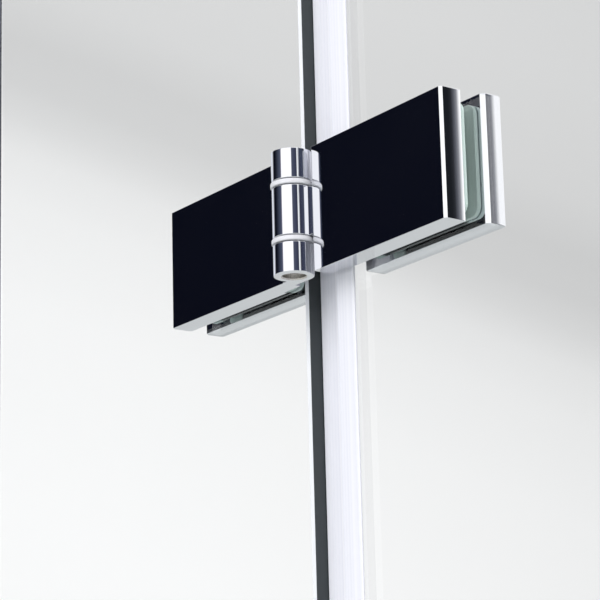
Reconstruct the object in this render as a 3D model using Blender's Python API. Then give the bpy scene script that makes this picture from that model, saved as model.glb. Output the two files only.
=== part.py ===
"""Frameless corner shower cabin: a tray, a fixed glass panel and a glass side panel, and a glass door
that swings outward on two glass-to-glass barrel hinges.

Frame: metres, +Z up, origin at the centre of the tray's underside. The room walls that the cabin
stands against are at the tray's left edge (-X) and back edge (+Y). The door is in the front (-Y).
"""

import math

import bmesh
import bpy
from mathutils import Vector

# Gaps between pieces
SEAT_GAP = 0.0003
CUT_OVERRUN = 0.0020

# Tray
TRAY_WIDTH = 0.900
TRAY_DEPTH = 0.900
TRAY_HEIGHT = 0.045
TRAY_CORNER_RADIUS = 0.012
TRAY_EDGE_RADIUS = 0.004
TRAY_RIM_WIDTH = 0.075
BASIN_CORNER_RADIUS = 0.060
BASIN_DROP = 0.014
BASIN_WALL_RUN = 0.010
BASIN_FALL = 0.006
DRAIN_FROM_BACK = 0.210
DRAIN_RECESS_RADIUS = 0.060
DRAIN_RECESS_DROP = 0.005
DRAIN_HOLE_RADIUS = 0.045
TRAY_RING_POINTS = 48

# Waste and its cover
WASTE_FLANGE_RADIUS = 0.052
WASTE_FLANGE_THICKNESS = 0.0025
WASTE_WALL = 0.0025
WASTE_OUTLET_RADIUS = 0.022
WASTE_LIFT = 0.0015
COVER_RADIUS = 0.055
COVER_THICKNESS = 0.0025
COVER_RAISE = 0.0028
COVER_FOOT_LENGTH = 0.012
COVER_FOOT_WIDTH = 0.003
COVER_FOOT_COUNT = 3
ROUND_SIDES = 40

# Glazing
GLASS_THICKNESS = 0.008
GLASS_ARRIS = 0.001
FRONT_GLASS_SETBACK = 0.040
SIDE_GLASS_SETBACK = 0.040
ENCLOSURE_TOP = 2.000
DOOR_TOP_GAP = 0.008
DOOR_BOTTOM_GAP = 0.018
CORNER_RECESS = 0.010

# Wall profiles, with their gaskets and caps
PROFILE_DEPTH = 0.022
PROFILE_WIDTH = 0.016
PROFILE_WALL = 0.0018
PROFILE_COVER = 0.013
PROFILE_CAP_THICKNESS = 0.003

# Bottom rails and threshold
RAIL_HEIGHT = 0.014
RAIL_WALL = 0.0016
RAIL_SIDE_PLAY = 0.0007
RAIL_PAD = 0.0005
THRESHOLD_HEIGHT = 0.008
THRESHOLD_WIDTH = 0.016
THRESHOLD_SLOPE = 0.004

# Hinge places
HINGE_FROM_WALL = 0.300
UPPER_HINGE_FROM_TOP = 0.250
LOWER_HINGE_FROM_TRAY = 0.255

# Hinge leaves
PLATE_REACH = 0.0925
PLATE_HEIGHT = 0.050
PLATE_INNER = 0.0105
PLATE_CHAMFER = 0.00105
PLATE_RELIEF_REACH = 0.022
PLATE_RELIEF_DEPTH = 0.0013
FRONT_PLATE_THICKNESS = 0.0095
BACK_PLATE_THICKNESS = 0.0090
BACK_PLATE_REACH = 0.0945
BACK_PLATE_INNER = 0.0200
BACK_PLATE_CHAMFER = 0.0015
HINGE_GASKET_THICKNESS = 0.0017
HINGE_GASKET_INSET = 0.0035
HINGE_GASKET_END_INSET = 0.001
HINGE_GASKET_CORNER = 0.004
GLASS_EDGE_FROM_AXIS = 0.0115

# Hinge barrel
AXIS_FORWARD = 0.002
BARREL_RADIUS = 0.008
BARREL_BORE_RADIUS = 0.0046
MIDDLE_KNUCKLE = 0.0202
WASHER_SLOT = 0.0026
WASHER_PROUD = 0.0005
PIN_RADIUS = 0.0043
PIN_RECESS = 0.0025
PIN_CHAMFER = 0.0005
BARREL_ARC_STEPS = 26
BORE_SIDES = 24

# Hinge screws
SCREW_INNER_FROM_AXIS = 0.040
SCREW_OUTER_FROM_AXIS = 0.076
SCREW_RADIUS = 0.0025
SCREW_HEAD_RADIUS = 0.0046
SCREW_HEAD_DEPTH = 0.0024
SCREW_BORE_DEPTH = 0.0065
SCREW_TIP_GAP = 0.0008
SCREW_SOCKET_RADIUS = 0.0018
SCREW_SOCKET_DEPTH = 0.0015
GLASS_HOLE_RADIUS = 0.005
SCREW_SIDES = 16

# Seals
SEAL_WALL = 0.0010
SEAL_LEG = 0.0100
FIN_FROM_REAR_FACE = 0.0006
MAGNET_WALL = 0.0012
MAGNET_LEG = 0.0100
MAGNET_GAP = 0.0010
DRIP_WALL = 0.0010
DRIP_LEG = 0.0080
DRIP_LIP_CLEARANCE = 0.0010
DRIP_LIP_LEAN = 0.004

# Handle
HANDLE_FROM_EDGE = 0.060
HANDLE_CENTRE_HEIGHT = 1.050
HANDLE_SPAN = 0.250
HANDLE_RADIUS = 0.0085
HANDLE_STANDOFF = 0.045
HANDLE_BEND_RADIUS = 0.022
HANDLE_BEND_STEPS = 6
HANDLE_SIDES = 20
HANDLE_BORE_DEPTH = 0.012
HANDLE_BOLT_RADIUS = 0.003
HANDLE_CAP_RADIUS = 0.0115
HANDLE_CAP_THICKNESS = 0.008
HANDLE_CAP_BORE_DEPTH = 0.005
HANDLE_CAP_CHAMFER = 0.001
HANDLE_GLASS_HOLE_RADIUS = 0.005

# Header bar over the door
HEADER_RADIUS = 0.0085
HEADER_ABOVE_GLASS = 0.0115
CLAMP_LENGTH = 0.034
CLAMP_WALL = 0.007
CLAMP_GRIP = 0.022
CLAMP_TOP_COVER = 0.023
CLAMP_CHAMFER = 0.001
CLAMP_SOCKET_DEPTH = 0.012
CLAMP_ARM_WALL = 0.004
FRONT_CLAMP_FROM_HINGE = 0.075
SIDE_CLAMP_SETBACK = 0.014

# Finishes: base colour, roughness, metallic, transmission
CHROME = ((0.80, 0.81, 0.83), 0.06, 1.0, 0.0)
CLEAR_GLASS = ((0.90, 0.96, 0.94), 0.02, 0.0, 0.95)
CLEAR_VINYL = ((0.88, 0.90, 0.93), 0.25, 0.0, 0.60)
GREY_GASKET = ((0.30, 0.34, 0.34), 0.50, 0.0, 0.20)
WHITE_NYLON = ((0.86, 0.87, 0.90), 0.35, 0.0, 0.20)
BRIGHT_ALUMINIUM = ((0.78, 0.79, 0.80), 0.18, 1.0, 0.0)
WHITE_ACRYLIC = ((0.88, 0.89, 0.89), 0.20, 0.0, 0.0)
STEEL = ((0.62, 0.62, 0.64), 0.25, 1.0, 0.0)
GREY_PLASTIC = ((0.55, 0.56, 0.58), 0.45, 0.0, 0.0)

# Places that follow from the sizes
LEFT_WALL_X = -TRAY_WIDTH / 2
BACK_WALL_Y = TRAY_DEPTH / 2
RIM_Z = TRAY_HEIGHT
FRONT_GLASS_Y = -TRAY_DEPTH / 2 + FRONT_GLASS_SETBACK
FRONT_GLASS_BACK_Y = FRONT_GLASS_Y + GLASS_THICKNESS
SIDE_GLASS_X = TRAY_WIDTH / 2 - SIDE_GLASS_SETBACK - GLASS_THICKNESS
SIDE_GLASS_OUTER_X = SIDE_GLASS_X + GLASS_THICKNESS
HINGE_X = LEFT_WALL_X + HINGE_FROM_WALL
GASKET_LAYER = HINGE_GASKET_THICKNESS + 2 * SEAT_GAP
PLATE_FRONT_Y = FRONT_GLASS_Y - GASKET_LAYER - FRONT_PLATE_THICKNESS
HINGE_AXIS_Y = PLATE_FRONT_Y - AXIS_FORWARD
BACK_PLATE_Y = FRONT_GLASS_BACK_Y + GASKET_LAYER
BACK_PLATE_REAR_Y = BACK_PLATE_Y + BACK_PLATE_THICKNESS
HINGE_HEIGHTS = {
    "upper": ENCLOSURE_TOP - UPPER_HINGE_FROM_TOP,
    "lower": RIM_Z + LOWER_HINGE_FROM_TRAY,
}
FIXED_GLASS_BOTTOM = RIM_Z + SEAT_GAP + RAIL_WALL + RAIL_PAD
DOOR_BOTTOM = RIM_Z + DOOR_BOTTOM_GAP
DOOR_TOP = ENCLOSURE_TOP - DOOR_TOP_GAP
DOOR_LEFT = HINGE_X + GLASS_EDGE_FROM_AXIS
DOOR_RIGHT = SIDE_GLASS_X - CORNER_RECESS
SIDE_PANEL_FRONT = FRONT_GLASS_BACK_Y + CORNER_RECESS
FIXED_RIGHT = HINGE_X - GLASS_EDGE_FROM_AXIS
FRONT_PANEL_LEFT = LEFT_WALL_X + PROFILE_DEPTH - PROFILE_COVER
SIDE_PANEL_BACK = BACK_WALL_Y - PROFILE_DEPTH + PROFILE_COVER
FRONT_MIDDLE_Y = FRONT_GLASS_Y + GLASS_THICKNESS / 2
SIDE_MIDDLE_X = SIDE_GLASS_X + GLASS_THICKNESS / 2
DOOR_SEAL_BOTTOM = DOOR_BOTTOM + DRIP_LEG + SEAT_GAP
DRAIN_Y = BACK_WALL_Y - DRAIN_FROM_BACK
HANDLE_X = DOOR_RIGHT - HANDLE_FROM_EDGE
HEADER_Z = ENCLOSURE_TOP + HEADER_ABOVE_GLASS
SIDE_CLAMP_START = SIDE_PANEL_FRONT + SIDE_CLAMP_SETBACK
HEADER_Y = SIDE_CLAMP_START + CLAMP_LENGTH / 2


def clear_scene():
    for old in list(bpy.data.objects):
        bpy.data.objects.remove(old)


def finish_material(name, finish):
    """A Principled material of one piece."""
    colour, roughness, metallic, transmission = finish
    material = bpy.data.materials.new(name)
    material.use_nodes = True
    shader = material.node_tree.nodes["Principled BSDF"]
    shader.inputs["Base Color"].default_value = (*colour, 1.0)
    shader.inputs["Roughness"].default_value = roughness
    shader.inputs["Metallic"].default_value = metallic
    shader.inputs["Transmission Weight"].default_value = transmission
    return material


def empty(name, place):
    """A carrier that pieces hang on, at a joint's axis."""
    carrier = bpy.data.objects.new(name, None)
    carrier.location = place
    bpy.context.scene.collection.objects.link(carrier)
    return carrier


def add_object(name, shape, place, carrier):
    """An object whose mesh is given round its own origin, and that origin's place in the cabin."""
    mesh = bpy.data.meshes.new(name)
    shape.to_mesh(mesh)
    shape.free()
    item = bpy.data.objects.new(name, mesh)
    bpy.context.scene.collection.objects.link(item)
    item.location = place
    if carrier is not None:
        item.parent = carrier
        item.location = Vector(place) - carrier.location
    return item


def add_piece(name, shape, place, finish, carrier=None):
    """A sub-part with its own material, its round faces shaded smooth."""
    item = add_object(name, shape, place, carrier)
    item.data.shade_smooth()
    item.data.set_sharp_from_angle(angle=math.radians(30))
    item.data.materials.append(finish_material(name, finish))
    return item


def add_cutter(name, shape, place, carrier=None):
    """A helper that only cuts: it is hidden in renders and drawn as wire."""
    item = add_object(name, shape, place, carrier)
    item.hide_render = True
    item.display_type = "WIRE"
    return item


def combine(item, other, operation):
    change = item.modifiers.new(f"{operation.lower()} {other.name}", "BOOLEAN")
    change.operation = operation
    change.solver = "EXACT"
    change.object = other


def round_sharp_edges(item, width):
    """A flat chamfer along every sharp edge."""
    change = item.modifiers.new("arris", "BEVEL")
    change.width = width
    change.segments = 1
    change.limit_method = "ANGLE"
    change.angle_limit = math.radians(40)


def prism(outline, start, end, along="Z"):
    """A closed outline carried straight along one axis.

    The outline is (x, y) for Z, (y, z) for X and (x, z) for Y.
    """
    places = {
        "X": lambda a, b, c: (c, a, b),
        "Y": lambda a, b, c: (a, c, b),
        "Z": lambda a, b, c: (a, b, c),
    }
    place = places[along]
    shape = bmesh.new()
    corners = [shape.verts.new(place(a, b, start)) for a, b in outline]
    base = shape.faces.new(corners)
    grown = bmesh.ops.extrude_face_region(shape, geom=[base])
    moved = [item for item in grown["geom"] if isinstance(item, bmesh.types.BMVert)]
    bmesh.ops.translate(shape, verts=moved, vec=Vector(place(0, 0, end - start)))
    bmesh.ops.recalc_face_normals(shape, faces=shape.faces)
    return shape


def block(low, high):
    """A box between two corners."""
    outline = [(low[0], low[1]), (high[0], low[1]), (high[0], high[1]), (low[0], high[1])]
    return prism(outline, low[2], high[2])


def skin(rings, closed):
    """Faces between rings of equally many points, or of one point at a pole."""
    shape = bmesh.new()
    made = [[shape.verts.new(point) for point in ring] for ring in rings]
    pairs = list(zip(made, made[1:]))
    if closed:
        pairs.append((made[-1], made[0]))
    for first, second in pairs:
        count = max(len(first), len(second))
        for k in range(count):
            after = (k + 1) % count
            corners = [
                first[k % len(first)],
                first[after % len(first)],
                second[after % len(second)],
                second[k % len(second)],
            ]
            shape.faces.new(list(dict.fromkeys(corners)))
    bmesh.ops.recalc_face_normals(shape, faces=shape.faces)
    return shape


def circle_ring(radius, height, sides, along="Z"):
    """Points of a circle round one axis, or the pole itself where the radius is zero."""
    if radius == 0:
        turned_points = [(0.0, 0.0, height)]
    else:
        angles = [2 * math.pi * (k + 0.5) / sides for k in range(sides)]
        turned_points = [(radius * math.cos(a), radius * math.sin(a), height) for a in angles]
    if along == "Y":
        return [(x, z, -y) for x, y, z in turned_points]
    if along == "X":
        return [(z, x, y) for x, y, z in turned_points]
    return turned_points


def turned(profile, sides, along="Z", ring=False):
    """A turned solid from its (radius, height) profile. A ring's profile closes on itself."""
    rings = [circle_ring(radius, height, sides, along) for radius, height in profile]
    return skin(rings, ring)


def rod(radius, start, end, sides, along="Z"):
    return turned([(0, start), (radius, start), (radius, end), (0, end)], sides, along)


def arc(centre, radius, first, last, steps):
    """Points along a circular arc, both ends included, angles in degrees."""
    angles = [math.radians(first + (last - first) * k / steps) for k in range(steps + 1)]
    return [(centre[0] + radius * math.cos(a), centre[1] + radius * math.sin(a)) for a in angles]


def rounded_rectangle(low, high, radius, steps):
    corners = (
        ((high[0] - radius, high[1] - radius), 0),
        ((low[0] + radius, high[1] - radius), 90),
        ((low[0] + radius, low[1] + radius), 180),
        ((high[0] - radius, low[1] + radius), 270),
    )
    outline = []
    for centre, first in corners:
        outline += arc(centre, radius, first, first + 90, steps)
    return outline


def channel_outline(low, high, wall, mouth):
    """A U section between two corners, open towards mouth: +X or +Y of its plane."""
    x0, y0 = low
    x1, y1 = high
    if mouth == "+X":
        return [
            (x0, y0), (x1, y0), (x1, y0 + wall), (x0 + wall, y0 + wall),
            (x0 + wall, y1 - wall), (x1, y1 - wall), (x1, y1), (x0, y1),
        ]
    return [
        (x0, y0), (x1, y0), (x1, y1), (x1 - wall, y1),
        (x1 - wall, y0 + wall), (x0 + wall, y0 + wall), (x0 + wall, y1), (x0, y1),
    ]


def turn_to_side(outline):
    """Swaps the front panel's plane with the side panel's, about the cabin's glass corner.

    The corner is where the two panels' inner faces would meet.
    """
    return [
        (SIDE_GLASS_X - (y - FRONT_GLASS_BACK_Y), FRONT_GLASS_BACK_Y - (x - SIDE_GLASS_X))
        for x, y in outline
    ]


def tray_ring(inset, radius, height):
    """One rounded outline of the tray, set in from its edges."""
    steps = TRAY_RING_POINTS // 4 - 1
    half_x = TRAY_WIDTH / 2 - inset
    half_y = TRAY_DEPTH / 2 - inset
    outline = rounded_rectangle((-half_x, -half_y), (half_x, half_y), radius, steps)
    return [(x, y, height) for x, y in outline]


def drain_ring(radius, height):
    return [(x, y + DRAIN_Y, z) for x, y, z in circle_ring(radius, height, TRAY_RING_POINTS)]


def make_tray():
    """One skin that runs over the rim, down into the basin, through the drain hole and back."""
    basin_edge = RIM_Z - BASIN_DROP
    recess_edge = basin_edge - BASIN_FALL
    recess_floor = recess_edge - DRAIN_RECESS_DROP
    rings = [
        tray_ring(0, TRAY_CORNER_RADIUS, 0),
        tray_ring(0, TRAY_CORNER_RADIUS, RIM_Z - TRAY_EDGE_RADIUS),
        tray_ring(TRAY_EDGE_RADIUS, TRAY_CORNER_RADIUS, RIM_Z),
        tray_ring(TRAY_RIM_WIDTH, BASIN_CORNER_RADIUS, RIM_Z),
        tray_ring(TRAY_RIM_WIDTH + BASIN_WALL_RUN, BASIN_CORNER_RADIUS, basin_edge),
        drain_ring(DRAIN_RECESS_RADIUS, recess_edge),
        drain_ring(DRAIN_RECESS_RADIUS, recess_floor),
        drain_ring(DRAIN_HOLE_RADIUS, recess_floor),
        drain_ring(DRAIN_HOLE_RADIUS, 0),
    ]
    add_piece("tray", skin(rings, True), (0, 0, 0), WHITE_ACRYLIC)
    return recess_floor


def make_waste(recess_floor):
    """The waste cup hangs by its flange in the drain hole. The cover stands on the flange."""
    place = (0, DRAIN_Y, recess_floor + SEAT_GAP)
    tube_radius = DRAIN_HOLE_RADIUS - 2 * SEAT_GAP
    tail = WASTE_LIFT - place[2]
    cup = [
        (WASTE_FLANGE_RADIUS, 0),
        (WASTE_FLANGE_RADIUS, WASTE_FLANGE_THICKNESS),
        (tube_radius - WASTE_WALL, WASTE_FLANGE_THICKNESS),
        (tube_radius - WASTE_WALL, tail + WASTE_WALL),
        (WASTE_OUTLET_RADIUS, tail + WASTE_WALL),
        (WASTE_OUTLET_RADIUS, tail),
        (tube_radius, tail),
        (tube_radius, 0),
    ]
    add_piece("waste_body", turned(cup, ROUND_SIDES, ring=True), place, STEEL)

    flange_top = place[2] + WASTE_FLANGE_THICKNESS + SEAT_GAP
    lift_axis = empty("drain_cover_axis", (0, DRAIN_Y, flange_top))
    disc = [
        (0, COVER_RAISE),
        (COVER_RADIUS, COVER_RAISE),
        (COVER_RADIUS, COVER_RAISE + COVER_THICKNESS / 2),
        (COVER_RADIUS - COVER_THICKNESS / 2, COVER_RAISE + COVER_THICKNESS),
        (0, COVER_RAISE + COVER_THICKNESS),
    ]
    seat = lift_axis.location
    cover = add_piece("drain_cover", turned(disc, ROUND_SIDES), seat, CHROME, lift_axis)
    foot_radius = (WASTE_FLANGE_RADIUS + tube_radius - WASTE_WALL) / 2
    for k in range(COVER_FOOT_COUNT):
        turn = math.radians(360 * k / COVER_FOOT_COUNT + 90)
        foot_shape = block(
            (foot_radius - COVER_FOOT_WIDTH / 2, -COVER_FOOT_LENGTH / 2, 0),
            (foot_radius + COVER_FOOT_WIDTH / 2, COVER_FOOT_LENGTH / 2, COVER_RAISE + COVER_THICKNESS / 2),
        )
        foot = add_cutter(f"cover_foot_{k + 1}", foot_shape, seat, lift_axis)
        foot.rotation_euler = (0, 0, turn)
        combine(cover, foot, "UNION")


def make_wall_profiles():
    """Two U channels on the room walls, each with a gasket round the glass edge and a cap on top."""
    z0 = RIM_Z + SEAT_GAP
    half = PROFILE_WIDTH / 2
    front_low = (LEFT_WALL_X, FRONT_MIDDLE_Y - half)
    front_high = (LEFT_WALL_X + PROFILE_DEPTH, FRONT_MIDDLE_Y + half)
    front = channel_outline(front_low, front_high, PROFILE_WALL, "+X")

    slot = PROFILE_WALL + SEAT_GAP
    gasket_wall = half - slot - GLASS_THICKNESS / 2 - SEAT_GAP
    gasket_low = (front_low[0] + slot, front_low[1] + slot)
    gasket_high = (front_high[0] - SEAT_GAP, front_high[1] - slot)
    base = FRONT_PANEL_LEFT - SEAT_GAP
    gasket = [
        gasket_low,
        (gasket_high[0], gasket_low[1]),
        (gasket_high[0], gasket_low[1] + gasket_wall),
        (base, gasket_low[1] + gasket_wall),
        (base, gasket_high[1] - gasket_wall),
        (gasket_high[0], gasket_high[1] - gasket_wall),
        gasket_high,
        (gasket_low[0], gasket_high[1]),
    ]
    cap = [front_low, (front_high[0], front_low[1]), front_high, (front_low[0], front_high[1])]

    cap_z = ENCLOSURE_TOP + SEAT_GAP
    pieces = (
        ("wall_profile", front, z0, ENCLOSURE_TOP, BRIGHT_ALUMINIUM),
        ("profile_gasket", gasket, z0, ENCLOSURE_TOP, GREY_GASKET),
        ("profile_cap", cap, cap_z, cap_z + PROFILE_CAP_THICKNESS, GREY_PLASTIC),
    )
    for name, outline, low, high, finish in pieces:
        add_piece(f"{name}_left", prism(outline, low, high), (0, 0, 0), finish)
        shift = BACK_WALL_Y - (FRONT_GLASS_BACK_Y - (LEFT_WALL_X - SIDE_GLASS_X))
        back = [(x, y + shift) for x, y in turn_to_side(outline)]
        add_piece(f"{name}_back", prism(back, low, high), (0, 0, 0), finish)


def make_rails():
    """U rails on the tray rim under the fixed panels, and a low bar under the door."""
    z0 = RIM_Z + SEAT_GAP
    half = GLASS_THICKNESS / 2 + RAIL_SIDE_PLAY + RAIL_WALL
    front = channel_outline(
        (FRONT_MIDDLE_Y - half, z0), (FRONT_MIDDLE_Y + half, z0 + RAIL_HEIGHT), RAIL_WALL, "+Y"
    )
    front_start = LEFT_WALL_X + PROFILE_DEPTH + SEAT_GAP
    add_piece(
        "bottom_rail_front", prism(front, front_start, FIXED_RIGHT, "X"), (0, 0, 0), BRIGHT_ALUMINIUM
    )
    side = channel_outline(
        (SIDE_MIDDLE_X - half, z0), (SIDE_MIDDLE_X + half, z0 + RAIL_HEIGHT), RAIL_WALL, "+Y"
    )
    side_end = BACK_WALL_Y - PROFILE_DEPTH - SEAT_GAP
    add_piece(
        "bottom_rail_side", prism(side, SIDE_PANEL_FRONT, side_end, "Y"), (0, 0, 0), BRIGHT_ALUMINIUM
    )
    bar = [
        (FRONT_MIDDLE_Y - THRESHOLD_WIDTH / 2, z0),
        (FRONT_MIDDLE_Y + THRESHOLD_WIDTH / 2, z0),
        (FRONT_MIDDLE_Y + THRESHOLD_WIDTH / 2 - THRESHOLD_SLOPE, z0 + THRESHOLD_HEIGHT),
        (FRONT_MIDDLE_Y - THRESHOLD_WIDTH / 2 + THRESHOLD_SLOPE, z0 + THRESHOLD_HEIGHT),
    ]
    bar_end = SIDE_GLASS_OUTER_X
    add_piece(
        "threshold_bar", prism(bar, FIXED_RIGHT + SEAT_GAP, bar_end, "X"), (0, 0, 0), BRIGHT_ALUMINIUM
    )


def make_glass(door_axis):
    """The three panes, with ground edges, and the holes for the hinge screws and the handle."""
    fixed = add_piece(
        "fixed_panel_glass",
        block(
            (FRONT_PANEL_LEFT, FRONT_GLASS_Y, FIXED_GLASS_BOTTOM),
            (FIXED_RIGHT, FRONT_GLASS_BACK_Y, ENCLOSURE_TOP),
        ),
        (0, 0, 0),
        CLEAR_GLASS,
    )
    side = add_piece(
        "side_panel_glass",
        block(
            (SIDE_GLASS_X, SIDE_PANEL_FRONT, FIXED_GLASS_BOTTOM),
            (SIDE_GLASS_OUTER_X, SIDE_PANEL_BACK, ENCLOSURE_TOP),
        ),
        (0, 0, 0),
        CLEAR_GLASS,
    )
    axis_x, axis_y, _ = door_axis.location
    door = add_piece(
        "door_glass",
        block(
            (DOOR_LEFT - axis_x, FRONT_GLASS_Y - axis_y, DOOR_BOTTOM),
            (DOOR_RIGHT - axis_x, FRONT_GLASS_BACK_Y - axis_y, DOOR_TOP),
        ),
        door_axis.location,
        CLEAR_GLASS,
        door_axis,
    )
    for pane in (fixed, side, door):
        round_sharp_edges(pane, GLASS_ARRIS)
    return fixed, door


def leaf_outline(side):
    """The leaf seen from above, round the hinge axis: barrel, tab and plate. side is -1 or 1.

    Its rear is relieved next to the barrel, where the pane's edge and the seal lie.
    """
    junction = math.degrees(math.asin(AXIS_FORWARD / BARREL_RADIUS))
    front = AXIS_FORWARD
    rear = AXIS_FORWARD + FRONT_PLATE_THICKNESS
    relieved = rear - PLATE_RELIEF_DEPTH
    outline = arc((0, 0), BARREL_RADIUS, 90, 360 + junction, BARREL_ARC_STEPS)
    outline += [
        (PLATE_REACH - PLATE_CHAMFER, front),
        (PLATE_REACH, front + PLATE_CHAMFER),
        (PLATE_REACH, rear),
        (PLATE_RELIEF_REACH, rear),
        (PLATE_RELIEF_REACH, relieved),
        (PLATE_INNER, relieved),
        (PLATE_INNER, BARREL_RADIUS),
    ]
    return [(side * x, y) for x, y in outline]


def plate_box(side, inner, outer, low, high):
    """A cutter box on one side of the hinge axis, deeper than the leaf."""
    reach = BARREL_RADIUS + FRONT_PLATE_THICKNESS + AXIS_FORWARD
    first, last = sorted((side * inner, side * outer))
    return block((first, -reach, low), (last, reach, high))


def make_leaf(prefix, kind, side, place, carrier):
    """A front plate with its knuckles. The fixed leaf has two, with the door leaf's one between."""
    half = PLATE_HEIGHT / 2
    name = f"{prefix}_{kind}_leaf"
    leaf = add_piece(name, prism(leaf_outline(side), -half, half), place, CHROME, carrier)
    beyond = -(BARREL_RADIUS + CUT_OVERRUN)
    middle = MIDDLE_KNUCKLE / 2
    if kind == "fixed":
        gaps = [(-middle - WASHER_SLOT, middle + WASHER_SLOT)]
    else:
        gaps = [(-half - CUT_OVERRUN, -middle), (middle, half + CUT_OVERRUN)]
    for k, (low, high) in enumerate(gaps):
        shape = plate_box(side, beyond, PLATE_INNER, low, high)
        combine(leaf, add_cutter(f"{name}_notch_{k}", shape, place, carrier), "DIFFERENCE")
    bore = rod(BARREL_BORE_RADIUS, -half - CUT_OVERRUN, half + CUT_OVERRUN, BORE_SIDES)
    combine(leaf, add_cutter(f"{name}_bore", bore, place, carrier), "DIFFERENCE")
    return leaf


def make_back_plate(prefix, kind, side, place, carrier):
    """The plate inside the cabin that the screws pull against the glass."""
    half = PLATE_HEIGHT / 2
    front = BACK_PLATE_Y - HINGE_AXIS_Y
    rear = front + BACK_PLATE_THICKNESS
    chamfer = BACK_PLATE_CHAMFER
    outline = [
        (BACK_PLATE_INNER, front),
        (BACK_PLATE_REACH - chamfer, front),
        (BACK_PLATE_REACH, front + chamfer),
        (BACK_PLATE_REACH, rear - chamfer),
        (BACK_PLATE_REACH - chamfer, rear),
        (BACK_PLATE_INNER + chamfer, rear),
        (BACK_PLATE_INNER, rear - chamfer),
    ]
    outline = [(side * x, y) for x, y in outline]
    return add_piece(
        f"{prefix}_{kind}_back_plate", prism(outline, -half, half), place, CHROME, carrier
    )


def make_hinge_gasket(name, side, start, place, carrier):
    """A clear pad between a plate and the glass, with round corners, set in from the plate's edges."""
    half = PLATE_HEIGHT / 2 - HINGE_GASKET_INSET
    inner = BACK_PLATE_INNER + HINGE_GASKET_INSET
    outer = PLATE_REACH - HINGE_GASKET_END_INSET
    first, last = sorted((side * inner, side * outer))
    outline = rounded_rectangle((first, -half), (last, half), HINGE_GASKET_CORNER, 3)
    shape = prism(outline, start, start + HINGE_GASKET_THICKNESS, "Y")
    return add_piece(name, shape, place, GREY_GASKET, carrier)


def screw_profile(reach):
    """A countersunk screw along Y, its head's face at zero and its tip at -reach."""
    return [
        (0, -reach),
        (SCREW_RADIUS, -reach),
        (SCREW_RADIUS, -SCREW_HEAD_DEPTH),
        (SCREW_HEAD_RADIUS, -SEAT_GAP),
        (SCREW_HEAD_RADIUS, 0),
        (0, 0),
    ]


def make_hinge_screw(name, place, carrier):
    """The screw runs from the back plate through the glass into the front plate's blind bore."""
    rear = BACK_PLATE_REAR_Y - SEAT_GAP
    tip = PLATE_FRONT_Y + FRONT_PLATE_THICKNESS - SCREW_BORE_DEPTH + SCREW_TIP_GAP
    shape = turned(screw_profile(rear - tip), SCREW_SIDES, "Y")
    head = (place[0], rear, place[2])
    screw = add_piece(name, shape, head, STEEL, carrier)
    socket = rod(SCREW_SOCKET_RADIUS, -SCREW_SOCKET_DEPTH, CUT_OVERRUN, 6, "Y")
    combine(screw, add_cutter(f"{name}_socket", socket, head, carrier), "DIFFERENCE")


def cut_screw_holes(name, place, carrier, leaf, back_plate, gaskets, pane):
    """Blind bore in the front plate, clear holes in glass and gaskets, countersink in the back plate."""
    face = PLATE_FRONT_Y + FRONT_PLATE_THICKNESS
    play = 2 * SEAT_GAP
    bore = rod(SCREW_RADIUS + play, -SCREW_BORE_DEPTH, CUT_OVERRUN, SCREW_SIDES, "Y")
    at = (place[0], face, place[2])
    combine(leaf, add_cutter(f"{name}_bore", bore, at, carrier), "DIFFERENCE")

    through = GLASS_THICKNESS + 2 * GASKET_LAYER
    hole = rod(GLASS_HOLE_RADIUS, -GASKET_LAYER / 2, through, SCREW_SIDES, "Y")
    cutter = add_cutter(f"{name}_hole", hole, at, carrier)
    for piece in (*gaskets, pane):
        combine(piece, cutter, "DIFFERENCE")

    sink = [
        (0, -BACK_PLATE_THICKNESS - CUT_OVERRUN),
        (SCREW_RADIUS + play, -BACK_PLATE_THICKNESS - CUT_OVERRUN),
        (SCREW_RADIUS + play, -SCREW_HEAD_DEPTH - play),
        (SCREW_HEAD_RADIUS + play, -play),
        (SCREW_HEAD_RADIUS + play, CUT_OVERRUN),
        (0, CUT_OVERRUN),
    ]
    at = (place[0], BACK_PLATE_REAR_Y, place[2])
    shape = turned(sink, SCREW_SIDES, "Y")
    combine(back_plate, add_cutter(f"{name}_sink", shape, at, carrier), "DIFFERENCE")


def make_pin_and_washers(prefix, place):
    half = PLATE_HEIGHT / 2
    end = half - PIN_RECESS
    pin = [
        (0, -end),
        (PIN_RADIUS - PIN_CHAMFER, -end),
        (PIN_RADIUS, -end + PIN_CHAMFER),
        (PIN_RADIUS, end - PIN_CHAMFER),
        (PIN_RADIUS - PIN_CHAMFER, end),
        (0, end),
    ]
    add_piece(f"{prefix}_pin", turned(pin, BORE_SIDES), place, STEEL)
    low = SEAT_GAP
    high = WASHER_SLOT - SEAT_GAP
    outer = BARREL_RADIUS + WASHER_PROUD
    washer = [
        (BARREL_BORE_RADIUS, low),
        (outer, low),
        (outer, high),
        (BARREL_BORE_RADIUS, high),
    ]
    for name, base in (("top", MIDDLE_KNUCKLE / 2), ("bottom", -MIDDLE_KNUCKLE / 2 - WASHER_SLOT)):
        at = (place[0], place[1], place[2] + base)
        shape = turned(washer, BORE_SIDES, ring=True)
        add_piece(f"{prefix}_washer_{name}", shape, at, WHITE_NYLON)


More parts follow.
